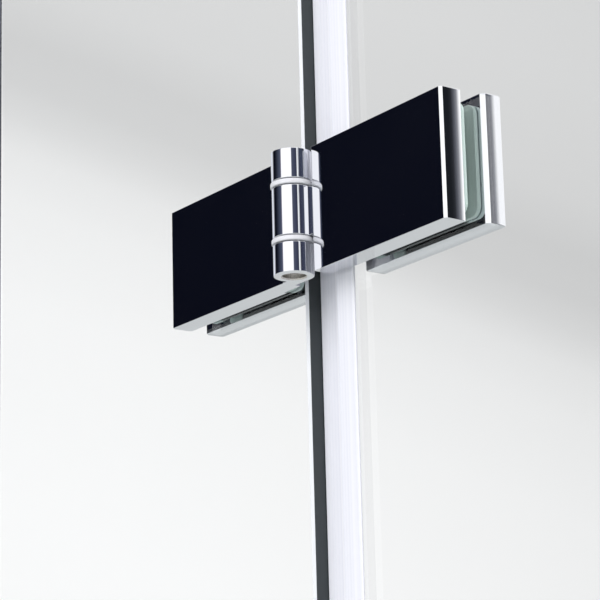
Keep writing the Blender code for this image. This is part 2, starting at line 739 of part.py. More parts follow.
def make_hinge(prefix, height, door_axis, panes):
    """One whole hinge. The fixed half is on the left, and the door half rides on the door axis."""
    place = (HINGE_X, HINGE_AXIS_Y, height)
    make_pin_and_washers(prefix, place)
    for kind, side, carrier in (("fixed", -1, None), ("door", 1, door_axis)):
        leaf = make_leaf(prefix, kind, side, place, carrier)
        back_plate = make_back_plate(prefix, kind, side, place, carrier)
        front_face = FRONT_GLASS_Y - GASKET_LAYER + SEAT_GAP - HINGE_AXIS_Y
        back_face = FRONT_GLASS_BACK_Y + SEAT_GAP - HINGE_AXIS_Y
        gaskets = [
            make_hinge_gasket(f"{prefix}_{kind}_gasket_front", side, front_face, place, carrier),
            make_hinge_gasket(f"{prefix}_{kind}_gasket_back", side, back_face, place, carrier),
        ]
        screws = (("inner", SCREW_INNER_FROM_AXIS), ("outer", SCREW_OUTER_FROM_AXIS))
        for where, from_axis in screws:
            name = f"{prefix}_{kind}_screw_{where}"
            at = (HINGE_X + side * from_axis, 0, height)
            cut_screw_holes(name, at, carrier, leaf, back_plate, gaskets, panes[kind])
            make_hinge_screw(name, at, carrier)


def make_hinge_seal(door_axis):
    """A clip on the door's hinge edge, with a fin that closes the gap to the fixed pane's edge."""
    axis_x, axis_y, _ = door_axis.location
    left = DOOR_LEFT - axis_x
    front = FRONT_GLASS_Y - axis_y
    back = FRONT_GLASS_BACK_Y - axis_y
    web = left - SEAT_GAP
    leg_end = left + SEAL_LEG
    fin_tip = FIXED_RIGHT + SEAT_GAP - axis_x
    fin_back = back - FIN_FROM_REAR_FACE
    fin_front = fin_back - SEAL_WALL
    outline = [
        (fin_tip, fin_front),
        (web - SEAL_WALL, fin_front),
        (web - SEAL_WALL, front - SEAT_GAP - SEAL_WALL),
        (leg_end, front - SEAT_GAP - SEAL_WALL),
        (leg_end, front - SEAT_GAP),
        (web, front - SEAT_GAP),
        (web, back + SEAT_GAP),
        (leg_end, back + SEAT_GAP),
        (leg_end, back + SEAT_GAP + SEAL_WALL),
        (web - SEAL_WALL, back + SEAT_GAP + SEAL_WALL),
        (web - SEAL_WALL, fin_back),
        (fin_tip, fin_back),
    ]
    shape = prism(outline, DOOR_SEAL_BOTTOM, DOOR_TOP)
    add_piece("door_hinge_seal", shape, door_axis.location, CLEAR_VINYL, door_axis)


def magnet_outline():
    """The door's closing-edge seal: a clip on the glass and a head cut at 45 degrees to the corner."""
    front = FRONT_GLASS_Y - SEAT_GAP
    back = FRONT_GLASS_BACK_Y + SEAT_GAP
    leg_start = DOOR_RIGHT - MAGNET_LEG
    web = DOOR_RIGHT + SEAT_GAP
    half_gap = MAGNET_GAP / 2 * math.sqrt(2)
    meet = SIDE_GLASS_X + FRONT_GLASS_BACK_Y - half_gap
    return [
        (leg_start, front - MAGNET_WALL),
        (meet - (front - MAGNET_WALL), front - MAGNET_WALL),
        (meet - (back + MAGNET_WALL), back + MAGNET_WALL),
        (leg_start, back + MAGNET_WALL),
        (leg_start, back),
        (web, back),
        (web, front),
        (leg_start, front),
    ]


def make_corner_seals(door_axis):
    outline = magnet_outline()
    axis_x, axis_y, _ = door_axis.location
    door_side = [(x - axis_x, y - axis_y) for x, y in outline]
    door_shape = prism(door_side, DOOR_SEAL_BOTTOM, DOOR_TOP)
    add_piece("door_magnet_seal", door_shape, door_axis.location, WHITE_NYLON, door_axis)
    low = RIM_Z + RAIL_HEIGHT + 2 * SEAT_GAP
    side_shape = prism(turn_to_side(outline), low, ENCLOSURE_TOP)
    add_piece("side_magnet_seal", side_shape, (0, 0, 0), WHITE_NYLON)


def make_drip_seal(door_axis):
    """A clip along the door's bottom edge, with a lip that leans in over the threshold."""
    axis_x, axis_y, _ = door_axis.location
    front = FRONT_GLASS_Y - SEAT_GAP - axis_y
    back = FRONT_GLASS_BACK_Y + SEAT_GAP - axis_y
    web = DOOR_BOTTOM - SEAT_GAP
    top = DOOR_BOTTOM + DRIP_LEG
    lip = RIM_Z + SEAT_GAP + THRESHOLD_HEIGHT + DRIP_LIP_CLEARANCE
    middle = (front + back) / 2
    outline = [
        (front - DRIP_WALL, top),
        (front - DRIP_WALL, web - DRIP_WALL),
        (middle - DRIP_WALL / 2, web - DRIP_WALL),
        (middle - DRIP_WALL / 2 + DRIP_LIP_LEAN, lip),
        (middle + DRIP_WALL / 2 + DRIP_LIP_LEAN, lip),
        (middle + DRIP_WALL / 2, web - DRIP_WALL),
        (back + DRIP_WALL, web - DRIP_WALL),
        (back + DRIP_WALL, top),
        (back, top),
        (back, web),
        (front, web),
        (front, top),
    ]
    shape = prism(outline, DOOR_LEFT - axis_x, DOOR_RIGHT - axis_x, "X")
    add_piece("door_drip_seal", shape, door_axis.location, CLEAR_VINYL, door_axis)


def handle_path():
    """Centre line of the D handle in its (y, z) plane, from the glass out, down and back in."""
    half = HANDLE_SPAN / 2
    bend = HANDLE_BEND_RADIUS
    out = -HANDLE_STANDOFF
    upper = arc((out + bend, half - bend), bend, 90, 180, HANDLE_BEND_STEPS)
    lower = [(y, -z) for y, z in reversed(upper)]
    return [(-SEAT_GAP, half), *upper, *lower, (-SEAT_GAP, -half)]


def sweep_round(path, radius, sides):
    """A round bar along a path in the (y, z) plane. Each ring stands square to the path there."""
    rings = []
    for k, (y, z) in enumerate(path):
        before = Vector(path[max(k - 1, 0)])
        after = Vector(path[min(k + 1, len(path) - 1)])
        along = (after - before).normalized()
        if k in (0, len(path) - 1):
            along = Vector((-1, 0)) if k == 0 else Vector((1, 0))
        across = Vector((-along.y, along.x))
        ring = []
        for step in range(sides):
            angle = 2 * math.pi * (step + 0.5) / sides
            offset = radius * math.sin(angle)
            ring.append((radius * math.cos(angle), y + across.x * offset, z + across.y * offset))
        rings.append(ring)
    first = [(0, *path[0])]
    last = [(0, *path[-1])]
    return skin([first, *rings, last], False)


def make_handle(door_axis, pane):
    """A D handle outside, held by a bolt at each end through the glass to a round cap inside."""
    place = (HANDLE_X, FRONT_GLASS_Y, HANDLE_CENTRE_HEIGHT)
    shape = sweep_round(handle_path(), HANDLE_RADIUS, HANDLE_SIDES)
    handle = add_piece("handle_bar", shape, place, CHROME, door_axis)
    play = 2 * SEAT_GAP
    cap_face = GLASS_THICKNESS + SEAT_GAP
    for name, sign in (("top", 1), ("bottom", -1)):
        at = (place[0], place[1], place[2] + sign * HANDLE_SPAN / 2)
        bore = rod(HANDLE_BOLT_RADIUS + play, -HANDLE_BORE_DEPTH, CUT_OVERRUN, SCREW_SIDES, "Y")
        combine(handle, add_cutter(f"handle_bore_{name}", bore, at, door_axis), "DIFFERENCE")
        hole = rod(
            HANDLE_GLASS_HOLE_RADIUS, -CUT_OVERRUN, GLASS_THICKNESS + CUT_OVERRUN, SCREW_SIDES, "Y"
        )
        combine(pane, add_cutter(f"handle_hole_{name}", hole, at, door_axis), "DIFFERENCE")
        bolt_start = -HANDLE_BORE_DEPTH + SEAT_GAP
        bolt_end = cap_face + HANDLE_CAP_BORE_DEPTH - SEAT_GAP
        bolt = rod(HANDLE_BOLT_RADIUS, bolt_start, bolt_end, SCREW_SIDES, "Y")
        add_piece(f"handle_bolt_{name}", bolt, at, STEEL, door_axis)
        bore_radius = HANDLE_BOLT_RADIUS + play
        cap = [
            (0, cap_face + HANDLE_CAP_BORE_DEPTH),
            (bore_radius, cap_face + HANDLE_CAP_BORE_DEPTH),
            (bore_radius, cap_face),
            (HANDLE_CAP_RADIUS, cap_face),
            (HANDLE_CAP_RADIUS, cap_face + HANDLE_CAP_THICKNESS - HANDLE_CAP_CHAMFER),
            (HANDLE_CAP_RADIUS - HANDLE_CAP_CHAMFER, cap_face + HANDLE_CAP_THICKNESS),
            (0, cap_face + HANDLE_CAP_THICKNESS),
        ]
        add_piece(f"handle_cap_{name}", turned(cap, HANDLE_SIDES, "Y"), at, CHROME, door_axis)


def clamp_outline(arm):
    """End view of a clamp round the glass's top edge, as (across, up) from the glass's middle.

    The block above the glass reaches as far inward as arm says.
    """
    half = GLASS_THICKNESS / 2 + SEAT_GAP
    outer = half + CLAMP_WALL
    top = CLAMP_TOP_COVER
    chamfer = CLAMP_CHAMFER
    outline = [
        (-outer, -CLAMP_GRIP),
        (-half, -CLAMP_GRIP),
        (-half, SEAT_GAP),
        (half, SEAT_GAP),
        (half, -CLAMP_GRIP),
        (outer, -CLAMP_GRIP),
    ]
    if arm > outer:
        outline += [(outer, SEAT_GAP), (arm, SEAT_GAP)]
    inward = max(arm, outer)
    return outline + [
        (inward, top - chamfer),
        (inward - chamfer, top),
        (-outer + chamfer, top),
        (-outer, top - chamfer),
    ]


def make_header():
    """A round bar inside the door's top, from a clamp on the fixed pane to one on the side pane."""
    arm = HEADER_Y - FRONT_MIDDLE_Y + HEADER_RADIUS + CLAMP_ARM_WALL
    front_outline = [(FRONT_MIDDLE_Y + a, ENCLOSURE_TOP + b) for a, b in clamp_outline(arm)]
    side_outline = [(SIDE_MIDDLE_X + a, ENCLOSURE_TOP + b) for a, b in clamp_outline(0)]
    front_end = HINGE_X - FRONT_CLAMP_FROM_HINGE
    front_shape = prism(front_outline, front_end - CLAMP_LENGTH, front_end, "X")
    front_clamp = add_piece("header_clamp_front", front_shape, (0, 0, 0), CHROME)
    side_shape = prism(side_outline, SIDE_CLAMP_START, SIDE_CLAMP_START + CLAMP_LENGTH, "Y")
    side_clamp = add_piece("header_clamp_side", side_shape, (0, 0, 0), CHROME)

    side_face = SIDE_GLASS_X - SEAT_GAP - CLAMP_WALL
    place = (0, HEADER_Y, HEADER_Z)
    radius = HEADER_RADIUS + SEAT_GAP
    sockets = (
        (front_clamp, "front", front_end - CLAMP_SOCKET_DEPTH, front_end + CUT_OVERRUN),
        (side_clamp, "side", side_face - CUT_OVERRUN, side_face + CLAMP_SOCKET_DEPTH),
    )
    for clamp, where, start, end in sockets:
        socket = rod(radius, start, end, ROUND_SIDES, "X")
        combine(clamp, add_cutter(f"header_socket_{where}", socket, place), "DIFFERENCE")
    start = front_end - CLAMP_SOCKET_DEPTH + SEAT_GAP
    end = side_face + CLAMP_SOCKET_DEPTH - SEAT_GAP
    add_piece("header_bar", rod(HEADER_RADIUS, start, end, ROUND_SIDES, "X"), place, CHROME)


def main():
    clear_scene()
    door_axis = empty("door_axis", (HINGE_X, HINGE_AXIS_Y, 0))
    make_waste(make_tray())
    make_wall_profiles()
    make_rails()
    fixed_pane, door_pane = make_glass(door_axis)
    for prefix, height in HINGE_HEIGHTS.items():
        make_hinge(prefix, height, door_axis, {"fixed": fixed_pane, "door": door_pane})
    make_hinge_seal(door_axis)
    make_corner_seals(door_axis)
    make_drip_seal(door_axis)
    make_handle(door_axis, door_pane)
    make_header()


main()
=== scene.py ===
"""Looks of a frameless corner shower cabin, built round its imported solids.

Frame: metres, +Z up, origin at the centre of the tray's underside. The door is in the front (-Y), the
room walls are at -X and +Y. Every finished piece takes its place and size from the solid it stands for.
"""

import logging
import math
from dataclasses import dataclass, field
from enum import Enum
from typing import Any, Sequence

import bmesh
import bpy
import numpy as np
from mathutils import Matrix, Vector


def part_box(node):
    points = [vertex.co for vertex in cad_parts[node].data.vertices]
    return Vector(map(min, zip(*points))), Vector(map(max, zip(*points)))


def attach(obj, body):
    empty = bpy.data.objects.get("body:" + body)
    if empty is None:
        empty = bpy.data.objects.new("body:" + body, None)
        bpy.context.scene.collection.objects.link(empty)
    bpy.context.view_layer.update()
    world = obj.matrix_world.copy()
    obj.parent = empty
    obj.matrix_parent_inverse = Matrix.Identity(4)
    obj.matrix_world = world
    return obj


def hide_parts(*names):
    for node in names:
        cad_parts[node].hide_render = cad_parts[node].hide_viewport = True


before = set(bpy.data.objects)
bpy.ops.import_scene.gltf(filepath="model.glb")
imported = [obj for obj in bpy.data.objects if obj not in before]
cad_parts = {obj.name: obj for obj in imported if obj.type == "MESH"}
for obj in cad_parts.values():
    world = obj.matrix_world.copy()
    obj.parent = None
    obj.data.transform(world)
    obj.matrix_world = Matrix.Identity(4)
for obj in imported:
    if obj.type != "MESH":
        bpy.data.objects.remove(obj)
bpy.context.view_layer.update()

LOG = logging.getLogger("shower_cabin")

MM = 0.001
MERGE = 0.001 * MM
SEAT_GAP = 0.3 * MM
OVERRUN = 2 * MM

# Corners of the hex key's socket.
HEXAGON_SIDES = 6

# Edges that turn by more degrees than this are shaded sharp.
SHARP_FROM = 38

# Where a colour mix keeps its two colours and its result among its sockets.
MIX_FIRST = 6
MIX_SECOND = 7
MIX_RESULT = 2

# The values between which nearly all of a noise lies.
CLOUD_SPREAD = (0.3, 0.7)

Array = np.ndarray


class Body(Enum):
    """The parts of the cabin that move on their own."""

    CABIN = "cabin"
    DOOR = "door"
    COVER = "drain_cover"


class Axis(Enum):
    """The direction a section is carried along, as the order of (across, up, along) in x, y and z."""

    X = (2, 0, 1)
    Y = (0, 2, 1)
    Z = (0, 1, 2)


# Finishes


def linear(code: str) -> tuple[float, float, float, float]:
    """Turns an sRGB hex colour into linear red, green, blue and one for alpha.

    Args:
        code: Six hex digits after a hash mark.

    Returns:
        The four linear values.
    """
    shares = [int(code[k : k + 2], 16) / 255 for k in (1, 3, 5)]
    red, green, blue = (s / 12.92 if s <= 0.04045 else ((s + 0.055) / 1.055) ** 2.4 for s in shares)
    return red, green, blue, 1.0


def add_node(tree: bpy.types.NodeTree, kind: str, sockets: dict[Any, Any], **settings: Any) -> bpy.types.Node:
    """Adds a node, sets its settings, and sets or links its sockets.

    Args:
        tree: The node tree to add to.
        kind: The node's type name.
        sockets: Input name or number, and the value or the output socket that feeds it.
        settings: The node's own properties.

    Returns:
        The new node.
    """
    node = tree.nodes.new(kind)
    for name, value in settings.items():
        setattr(node, name, value)
    for key, value in sockets.items():
        if isinstance(value, bpy.types.NodeSocket):
            tree.links.new(value, node.inputs[key])
        else:
            node.inputs[key].default_value = value
    return node


def maths(tree: bpy.types.NodeTree, operation: str, first: Any, second: Any) -> bpy.types.NodeSocket:
    """One sum of two sockets or numbers."""
    return add_node(tree, "ShaderNodeMath", {0: first, 1: second}, operation=operation).outputs[0]


def portion(tree: bpy.types.NodeTree, value: bpy.types.NodeSocket, start: float, end: float,
            low: float = 0.0, high: float = 1.0) -> bpy.types.NodeSocket:
    """How far a value has come from start to end, as a straight rise from low to high that stops there."""
    sockets = {"Value": value, "From Min": start, "From Max": end, "To Min": low, "To Max": high}
    return add_node(tree, "ShaderNodeMapRange", sockets).outputs[0]


def blend(tree: bpy.types.NodeTree, amount: bpy.types.NodeSocket, first: Any,
          second: Any) -> bpy.types.NodeSocket:
    """The first colour where the amount is 0 and the second where it is 1."""
    sockets = {0: amount, MIX_FIRST: first, MIX_SECOND: second}
    return add_node(tree, "ShaderNodeMix", sockets, data_type="RGBA").outputs[MIX_RESULT]


@dataclass(frozen=True)
class Finish:
    """What every finish has: its name, the record's slot, and its colour, roughness and metal share."""

    name: str
    slot: str
    colour: str
    roughness: float
    metallic: float = 0.0
    transmission: float = 0.0
    ior: float = 1.5
    alpha: float = 1.0
    haze: tuple[float, float] = (1.0, 1.0)

    def material(self) -> bpy.types.Material:
        """Makes the material on first use and gives the same one after that.

        Returns:
            The finished material.
        """
        found = bpy.data.materials.get(self.name)
        if found:
            return found
        material = bpy.data.materials.new(self.name)
        material.use_nodes = True
        tree = material.node_tree
        shader = tree.nodes["Principled BSDF"]
        shader.inputs["Base Color"].default_value = linear(self.colour)
        shader.inputs["Roughness"].default_value = self.roughness
        shader.inputs["Metallic"].default_value = self.metallic
        shader.inputs["Transmission Weight"].default_value = self.transmission
        shader.inputs["Alpha"].default_value = self.alpha
        if not self.metallic:
            shader.inputs["IOR"].default_value = self.ior
        self.dress(tree, shader)
        return material

    def dress(self, tree: bpy.types.NodeTree, shader: bpy.types.Node) -> None:
        """Adds the finish's own pattern; a plain finish has none."""

    def place(self, tree: bpy.types.NodeTree, period: Sequence[float]) -> bpy.types.NodeSocket:
        """Object coordinates counted in pattern periods.

        Args:
            tree: The material's node tree.
            period: Length of one period along x, y and z, in metres.

        Returns:
            The vector socket to feed a texture whose scale is one.
        """
        object_place = add_node(tree, "ShaderNodeTexCoord", {}).outputs["Object"]
        scale = [1 / length for length in period]
        return add_node(tree, "ShaderNodeMapping", {"Vector": object_place, "Scale": scale}).outputs[0]

    def cloud(self, tree: bpy.types.NodeTree, period: Sequence[float], detail: float) -> bpy.types.NodeSocket:
        """Soft noise whose blotches are as large as the period, from 0 to 1."""
        where = self.place(tree, period)
        sockets = {"Vector": where, "Scale": 1.0, "Detail": detail, "Roughness": 0.5}
        return add_node(tree, "ShaderNodeTexNoise", sockets).outputs["Fac"]

    def vary(self, tree: bpy.types.NodeTree, shader: bpy.types.Node, cloud: bpy.types.NodeSocket) -> None:
        """Lets the roughness follow a noise, between the two shares of itself that haze gives."""
        low, high = (self.roughness * part for part in self.haze)
        tree.links.new(portion(tree, cloud, *CLOUD_SPREAD, low, high), shader.inputs["Roughness"])

    def relief(self, tree: bpy.types.NodeTree, shader: bpy.types.Node, height: bpy.types.NodeSocket,
               depth: float) -> None:
        """Lets the surface rise with a height pattern, by depth metres from its lowest to its highest."""
        bump = add_node(tree, "ShaderNodeBump", {"Height": height, "Strength": 1.0, "Distance": depth})
        tree.links.new(bump.outputs[0], shader.inputs["Normal"])


@dataclass(frozen=True)
class PolishedChrome(Finish):
    """Bright chrome over buffed brass: a mirror whose faces swim a little where the buff rode over them."""

    swim: float = 24 * MM
    swim_depth: float = 0.0025 * MM
    haze: tuple[float, float] = (1.0, 2.0)

    def dress(self, tree: bpy.types.NodeTree, shader: bpy.types.Node) -> None:
        """Adds a faint haze to the mirror, and the buffing's slow waves."""
        haze = self.cloud(tree, (self.swim, self.swim, self.swim), 3.0)
        self.vary(tree, shader, haze)
        self.relief(tree, shader, self.cloud(tree, (self.swim, self.swim, self.swim), 1.0), self.swim_depth)


@dataclass(frozen=True)
class FloatGlass(Finish):
    """Toughened float glass: clear, faintly green, with the furnace rollers' slow wave up the pane."""

    roller_wave: float = 280 * MM
    wave_depth: float = 0.02 * MM

    def dress(self, tree: bpy.types.NodeTree, shader: bpy.types.Node) -> None:
        """Adds the roller wave, which only a reflection shows."""
        period = (self.roller_wave * 4, self.roller_wave * 4, self.roller_wave)
        self.relief(tree, shader, self.cloud(tree, period, 0.0), self.wave_depth)


@dataclass(frozen=True)
class GroundGlass(Finish):
    """Glass ground by a wheel: a fine grey frost with a grit that glitters."""

    grit: float = 0.35 * MM
    grit_depth: float = 0.05 * MM

    def dress(self, tree: bpy.types.NodeTree, shader: bpy.types.Node) -> None:
        """Adds the grit."""
        grit = self.cloud(tree, (self.grit, self.grit, self.grit * 3), 2.0)
        self.relief(tree, shader, grit, self.grit_depth)


@dataclass(frozen=True)
class ExtrudedVinyl(Finish):
    """Soft vinyl drawn through a die: milky or clear, with fine lines along its length."""

    line: float = 4 * MM
    streak: float = 1.5 * MM
    run: float = 2000 * MM
    line_depth: float = 0.03 * MM
    shade: str = "#E8E9F2"
    spread: tuple[float, float] = (0.35, 0.65)
    haze: tuple[float, float] = (0.7, 1.4)

    def dress(self, tree: bpy.types.NodeTree, shader: bpy.types.Node) -> None:
        """Adds the die lines, long up the strip and fine across it, and their greyer streaks."""
        lines = self.cloud(tree, (self.line, self.line, self.run), 2.0)
        self.vary(tree, shader, lines)
        self.relief(tree, shader, lines, self.line_depth)
        streaks = self.cloud(tree, (self.streak, self.streak, self.run), 2.0)
        clearer = portion(tree, streaks, *self.spread)
        colour = blend(tree, clearer, linear(self.shade), linear(self.colour))
        tree.links.new(colour, shader.inputs["Base Color"])


@dataclass(frozen=True)
class MouldedPolymer(Finish):
    """Plastic or rubber out of a mould or a die: even, with a fine grained skin."""

    grain: float = 0.6 * MM
    grain_depth: float = 0.01 * MM
    haze: tuple[float, float] = (0.85, 1.15)

    def dress(self, tree: bpy.types.NodeTree, shader: bpy.types.Node) -> None:
        """Adds the skin's grain."""
        grain = self.cloud(tree, (self.grain, self.grain, self.grain), 3.0)
        self.vary(tree, shader, grain)
        self.relief(tree, shader, grain, self.grain_depth)


@dataclass(frozen=True)
class PaintedShadePad(MouldedPolymer):
    """A clear vinyl pad with painted light: pale at both its ends, and a painted dark shade between."""

    # The painted dark shade of the pad's middle, between the plates.
    pressed: str = "#1E2624"
    centre: float = -150 * MM
    near_end: float = 30 * MM
    far_end: float = 81 * MM
    fade: float = 2 * MM

    def dress(self, tree: bpy.types.NodeTree, shader: bpy.types.Node) -> None:
        """Adds the moulded skin, and the painted light and shade by the distance from the hinge's axis."""
        super().dress(tree, shader)
        along = add_node(tree, "ShaderNodeTexCoord", {}).outputs["Object"]
        across = add_node(tree, "ShaderNodeSeparateXYZ", {0: along}).outputs["X"]
        offset = maths(tree, "SUBTRACT", across, self.centre)
        reach = maths(tree, "ABSOLUTE", offset, 0.0)
        near = portion(tree, reach, self.near_end + self.fade, self.near_end)
        far = portion(tree, reach, self.far_end, self.far_end + self.fade)
        # The share of painted light: 1 at both ends of the pad, 0 in the painted shade between.
        free = maths(tree, "MAXIMUM", near, far)
        colour = blend(tree, free, linear(self.pressed), linear(self.colour))
        tree.links.new(colour, shader.inputs["Base Color"])


@dataclass(frozen=True)
class DrawnMetal(Finish):
    """Metal with lines along one direction: extruded and anodised, turned, or drawn through a bore."""

    along: tuple[float, float, float] = (0.25 * MM, 0.25 * MM, 120 * MM)
    line_depth: float = 0.002 * MM
    haze: tuple[float, float] = (0.8, 1.3)

    def dress(self, tree: bpy.types.NodeTree, shader: bpy.types.Node) -> None:
        """Adds the drawn lines to the roughness and the relief."""
        lines = self.cloud(tree, self.along, 2.0)
        self.vary(tree, shader, lines)
        self.relief(tree, shader, lines, self.line_depth)


@dataclass(frozen=True)
class SanitaryAcrylic(Finish):
    """Cast acrylic drawn over a mould: deep white gloss with a slight orange peel."""

    peel: float = 9 * MM
    peel_depth: float = 0.02 * MM
    patch: float = 160 * MM
    haze: tuple[float, float] = (0.8, 1.4)

    def dress(self, tree: bpy.types.NodeTree, shader: bpy.types.Node) -> None:
        """Adds the orange peel, and a gloss that dulls a little in patches."""
        patches = self.cloud(tree, (self.patch, self.patch, self.patch), 3.0)
        self.vary(tree, shader, patches)
        self.relief(tree, shader, self.cloud(tree, (self.peel, self.peel, self.peel), 1.0), self.peel_depth)


# Brass, buffed and then chromed: a near mirror, a little blue, whose reflections swim with the buffing.
CHROME = PolishedChrome("polished_chrome_on_brass", "polished_chrome", "#E6E7EB", 0.025, 1.0)
# Soda lime glass, floated and toughened: colourless through its thickness, seen by what it mirrors.
GLASS = FloatGlass("toughened_float_glass", "clear_glass", "#FEFFFF", 0.0, 0.0, 1.0, 1.52)
# The same glass where a belt has ground its corner off: a pale frosted line that catches the light.
ARRIS = GroundGlass("ground_glass_arris", "clear_glass", "#F4F6FA", 0.55, 0.0, 0.25, 1.52)
# The same glass on its polished edge, in painted shade: dark and faintly green, as one looks along the pane
# into it.
EDGE = GroundGlass(
    "polished_glass_edge", "clear_glass", "#292F31", 0.12, 0.0, 0.0, 1.52, grit_depth=0.004 * MM
)
# Soft clear vinyl from a die, with fine streaks: milky white, partly its own, partly a painted glow of caught
# light.
SEAL_VINYL = ExtrudedVinyl("extruded_clear_vinyl", "clear_vinyl", "#F6F6FC", 0.25, 0.0, 0.0, 1.53, 0.85)
# The same vinyl on the pane's far side, as an unlit copy without the painted glow: nearly clear.
SEAL_BACK = ExtrudedVinyl("extruded_clear_vinyl_back", "clear_vinyl", "#F6F6FC", 0.25, 0.0, 0.0, 1.53, 0.05)
# Vinyl filled with chalk round a magnet strip: milky, duller, and no longer seen through.
MAGNET_VINYL = ExtrudedVinyl("extruded_milky_vinyl", "white_magnet_seal", "#E9E9EE", 0.35, 0.0, 0.15, 1.53)
# Natural nylon out of a mould: white with a soft glow, because some light goes into it.
NYLON = MouldedPolymer("moulded_natural_nylon", "white_nylon", "#EEEEF3", 0.32, 0.0, 0.25, 1.53)
# A clear vinyl pad out of a mould: painted pale sea green at both ends, and a painted dark shade between.
PAD = PaintedShadePad("moulded_clear_vinyl_pad", "hinge_gasket", "#D3E6E0", 0.25)
# Glazing rubber drawn through a die: mid grey and nearly matt.
RUBBER = MouldedPolymer("extruded_glazing_rubber", "glazing_gasket", "#6E7274", 0.55)
# Grey ABS out of a spark-eroded mould: satin, a little darker than the aluminium it closes.
CAP_PLASTIC = MouldedPolymer("moulded_grey_cap", "grey_plastic", "#A9ABAE", 0.45)
# Extruded aluminium, brightened and anodised: a soft mirror, drawn out along fine lines.
ALUMINIUM = DrawnMetal("bright_anodised_aluminium", "bright_aluminium", "#D9DADC", 0.20, 1.0)
# Stainless steel, turned: a warmer, darker metal with a broad highlight.
STEEL = DrawnMetal("turned_stainless_steel", "stainless_steel", "#C9C8C9", 0.25, 1.0)
# The chrome thins out inside a bore, over brass that the drill left lined: warm and blurred.
BORE = DrawnMetal("drawn_chromed_bore", "polished_chrome", "#C8C4BE", 0.30, 1.0)
# Acrylic sheet, cast and drawn over a mould: deep white under a wet gloss.
ACRYLIC = SanitaryAcrylic("cast_sanitary_acrylic", "white_acrylic", "#F1F2F2", 0.14)
# The studio's floor: pale, matt and even.
FLOOR = MouldedPolymer(
    "pale_studio_floor", "", "#D6DAD8", 0.60, grain=4 * MM, grain_depth=0.02 * MM
)


# Outlines


def wound(outline: Array) -> Array:
    """The outline counter-clockwise, where its signed area, half the sum of cross products, is positive."""
    after = np.roll(outline, -1, axis=0)
    area = np.sum(outline[:, 0] * after[:, 1] - outline[:, 1] * after[:, 0])
    return outline if area > 0 else outline[::-1]


def unit(vectors: Array) -> Array:
    """Each row divided by its length."""
    return vectors / np.linalg.norm(vectors, axis=-1, keepdims=True)


def thinned(points: Array) -> Array:
    """Drops each point that lies on the one before it."""
    step = np.linalg.norm(points - np.roll(points, 1, axis=0), axis=1)
    return points[step > MERGE]


def rounded(corners: Sequence[Sequence[float]], radius: float | Sequence[float], steps: int = 4,
            closed: bool = True) -> Array:
    """Rounds the corners of an outline or a line with circular arcs.

    The arc's centre lies on the corner's bisector, radius / sin(half angle) away. The arc starts at the
    tangent point on the edge before, and turns by pi minus the corner's angle, the way the outline turns.

    Args:
        corners: The corners, in either order.
        radius: One radius, or one for each corner in the order given. A line's ends have none.
        steps: Straight steps in each arc.
        closed: False for a line, whose order is kept. A closed outline comes out counter-clockwise.

    Returns:
        The rounded points.
    """
    points = np.asarray(corners, float)
    radii = np.broadcast_to(np.asarray(radius, float), len(points))
    if closed and wound(points) is not points:
        points, radii = points[::-1], radii[::-1]
    back = unit(np.roll(points, 1, axis=0) - points)
    ahead = unit(np.roll(points, -1, axis=0) - points)
    half = np.arccos(np.clip(np.sum(back * ahead, axis=1), -1, 1)) / 2
    centre = points + unit(back + ahead) * (radii / np.sin(half))[:, None]
    start = points + back * (radii / np.tan(half))[:, None] - centre
    side = np.sign(ahead[:, 0] * back[:, 1] - ahead[:, 1] * back[:, 0])
    angle = (side * (math.pi - 2 * half))[:, None] * np.linspace(0, 1, steps + 1)
    cos, sin = np.cos(angle), np.sin(angle)
    x = centre[:, :1] + start[:, :1] * cos - start[:, 1:] * sin
    y = centre[:, 1:] + start[:, :1] * sin + start[:, 1:] * cos
    return thinned(np.stack([x, y], axis=-1).reshape(-1, 2))


def arc(centre: Sequence[float], radius: float, first: float, last: float, steps: int) -> Array:
    """Points on a circle from one angle to another, in degrees, both ends included."""
    angle = np.radians(np.linspace(first, last, steps + 1))
    return np.asarray(centre) + radius * np.stack([np.cos(angle), np.sin(angle)], axis=-1)


def circle(centre: Sequence[float], radius: float, sides: int) -> Array:
    """Points round a whole circle, or the corners of a regular polygon."""
    return arc(centre, radius, 0, 360 - 360 / sides, sides - 1)


def inset(outline: Array, distance: float) -> Array:
    """Moves a counter-clockwise outline inward.

    Each point moves along the sum of its two edges' inward normals, by distance / (1 + cosine of the
    turn there), which keeps every edge parallel to itself.

    Args:
        outline: The closed outline.
        distance: How far each edge moves.

    Returns:
        The smaller outline, with as many points.
    """
    after = unit(np.roll(outline, -1, axis=0) - outline)
    before = np.roll(after, 1, axis=0)
    both = before + after
    inward = np.stack([-both[:, 1], both[:, 0]], axis=-1)
    return outline + inward * (distance / (1 + np.sum(before * after, axis=1)))[:, None]


# Surfaces


def in_space(flat: Array, along: Array, axis: Axis) -> Array:
    """Puts plane points and their places along the axis into x, y and z."""
    return np.concatenate([flat, along[..., None]], axis=-1)[..., list(axis.value)]


def tube_faces(rings: int, count: int, loop: bool) -> Array:
    """Quads between neighbouring rings of equally many points.

    Args:
        rings: Number of rings.
        count: Points in each ring.
        loop: True where the last ring meets the first.

    Returns:
        One row of four point numbers for each quad.
    """
    row, column = np.meshgrid(np.arange(rings - (not loop)), np.arange(count), indexing="ij")
    below, next_column = (row + 1) % rings, (column + 1) % count
    here, there = row * count, below * count
    corners = (here + column, here + next_column, there + next_column, there + column)
    return np.stack(corners, axis=-1).reshape(-1, 4)


def close_and_turn_out(mesh: bpy.types.Mesh) -> None:
    """Merges doubled points, drops the faces that this empties, and turns the normals outwards."""
    shape = bmesh.new()
    shape.from_mesh(mesh)
    bmesh.ops.remove_doubles(shape, verts=shape.verts, dist=MERGE)
    bmesh.ops.dissolve_degenerate(shape, edges=shape.edges, dist=MERGE / 10)
    bmesh.ops.recalc_face_normals(shape, faces=shape.faces)
    shape.to_mesh(mesh)
    shape.free()


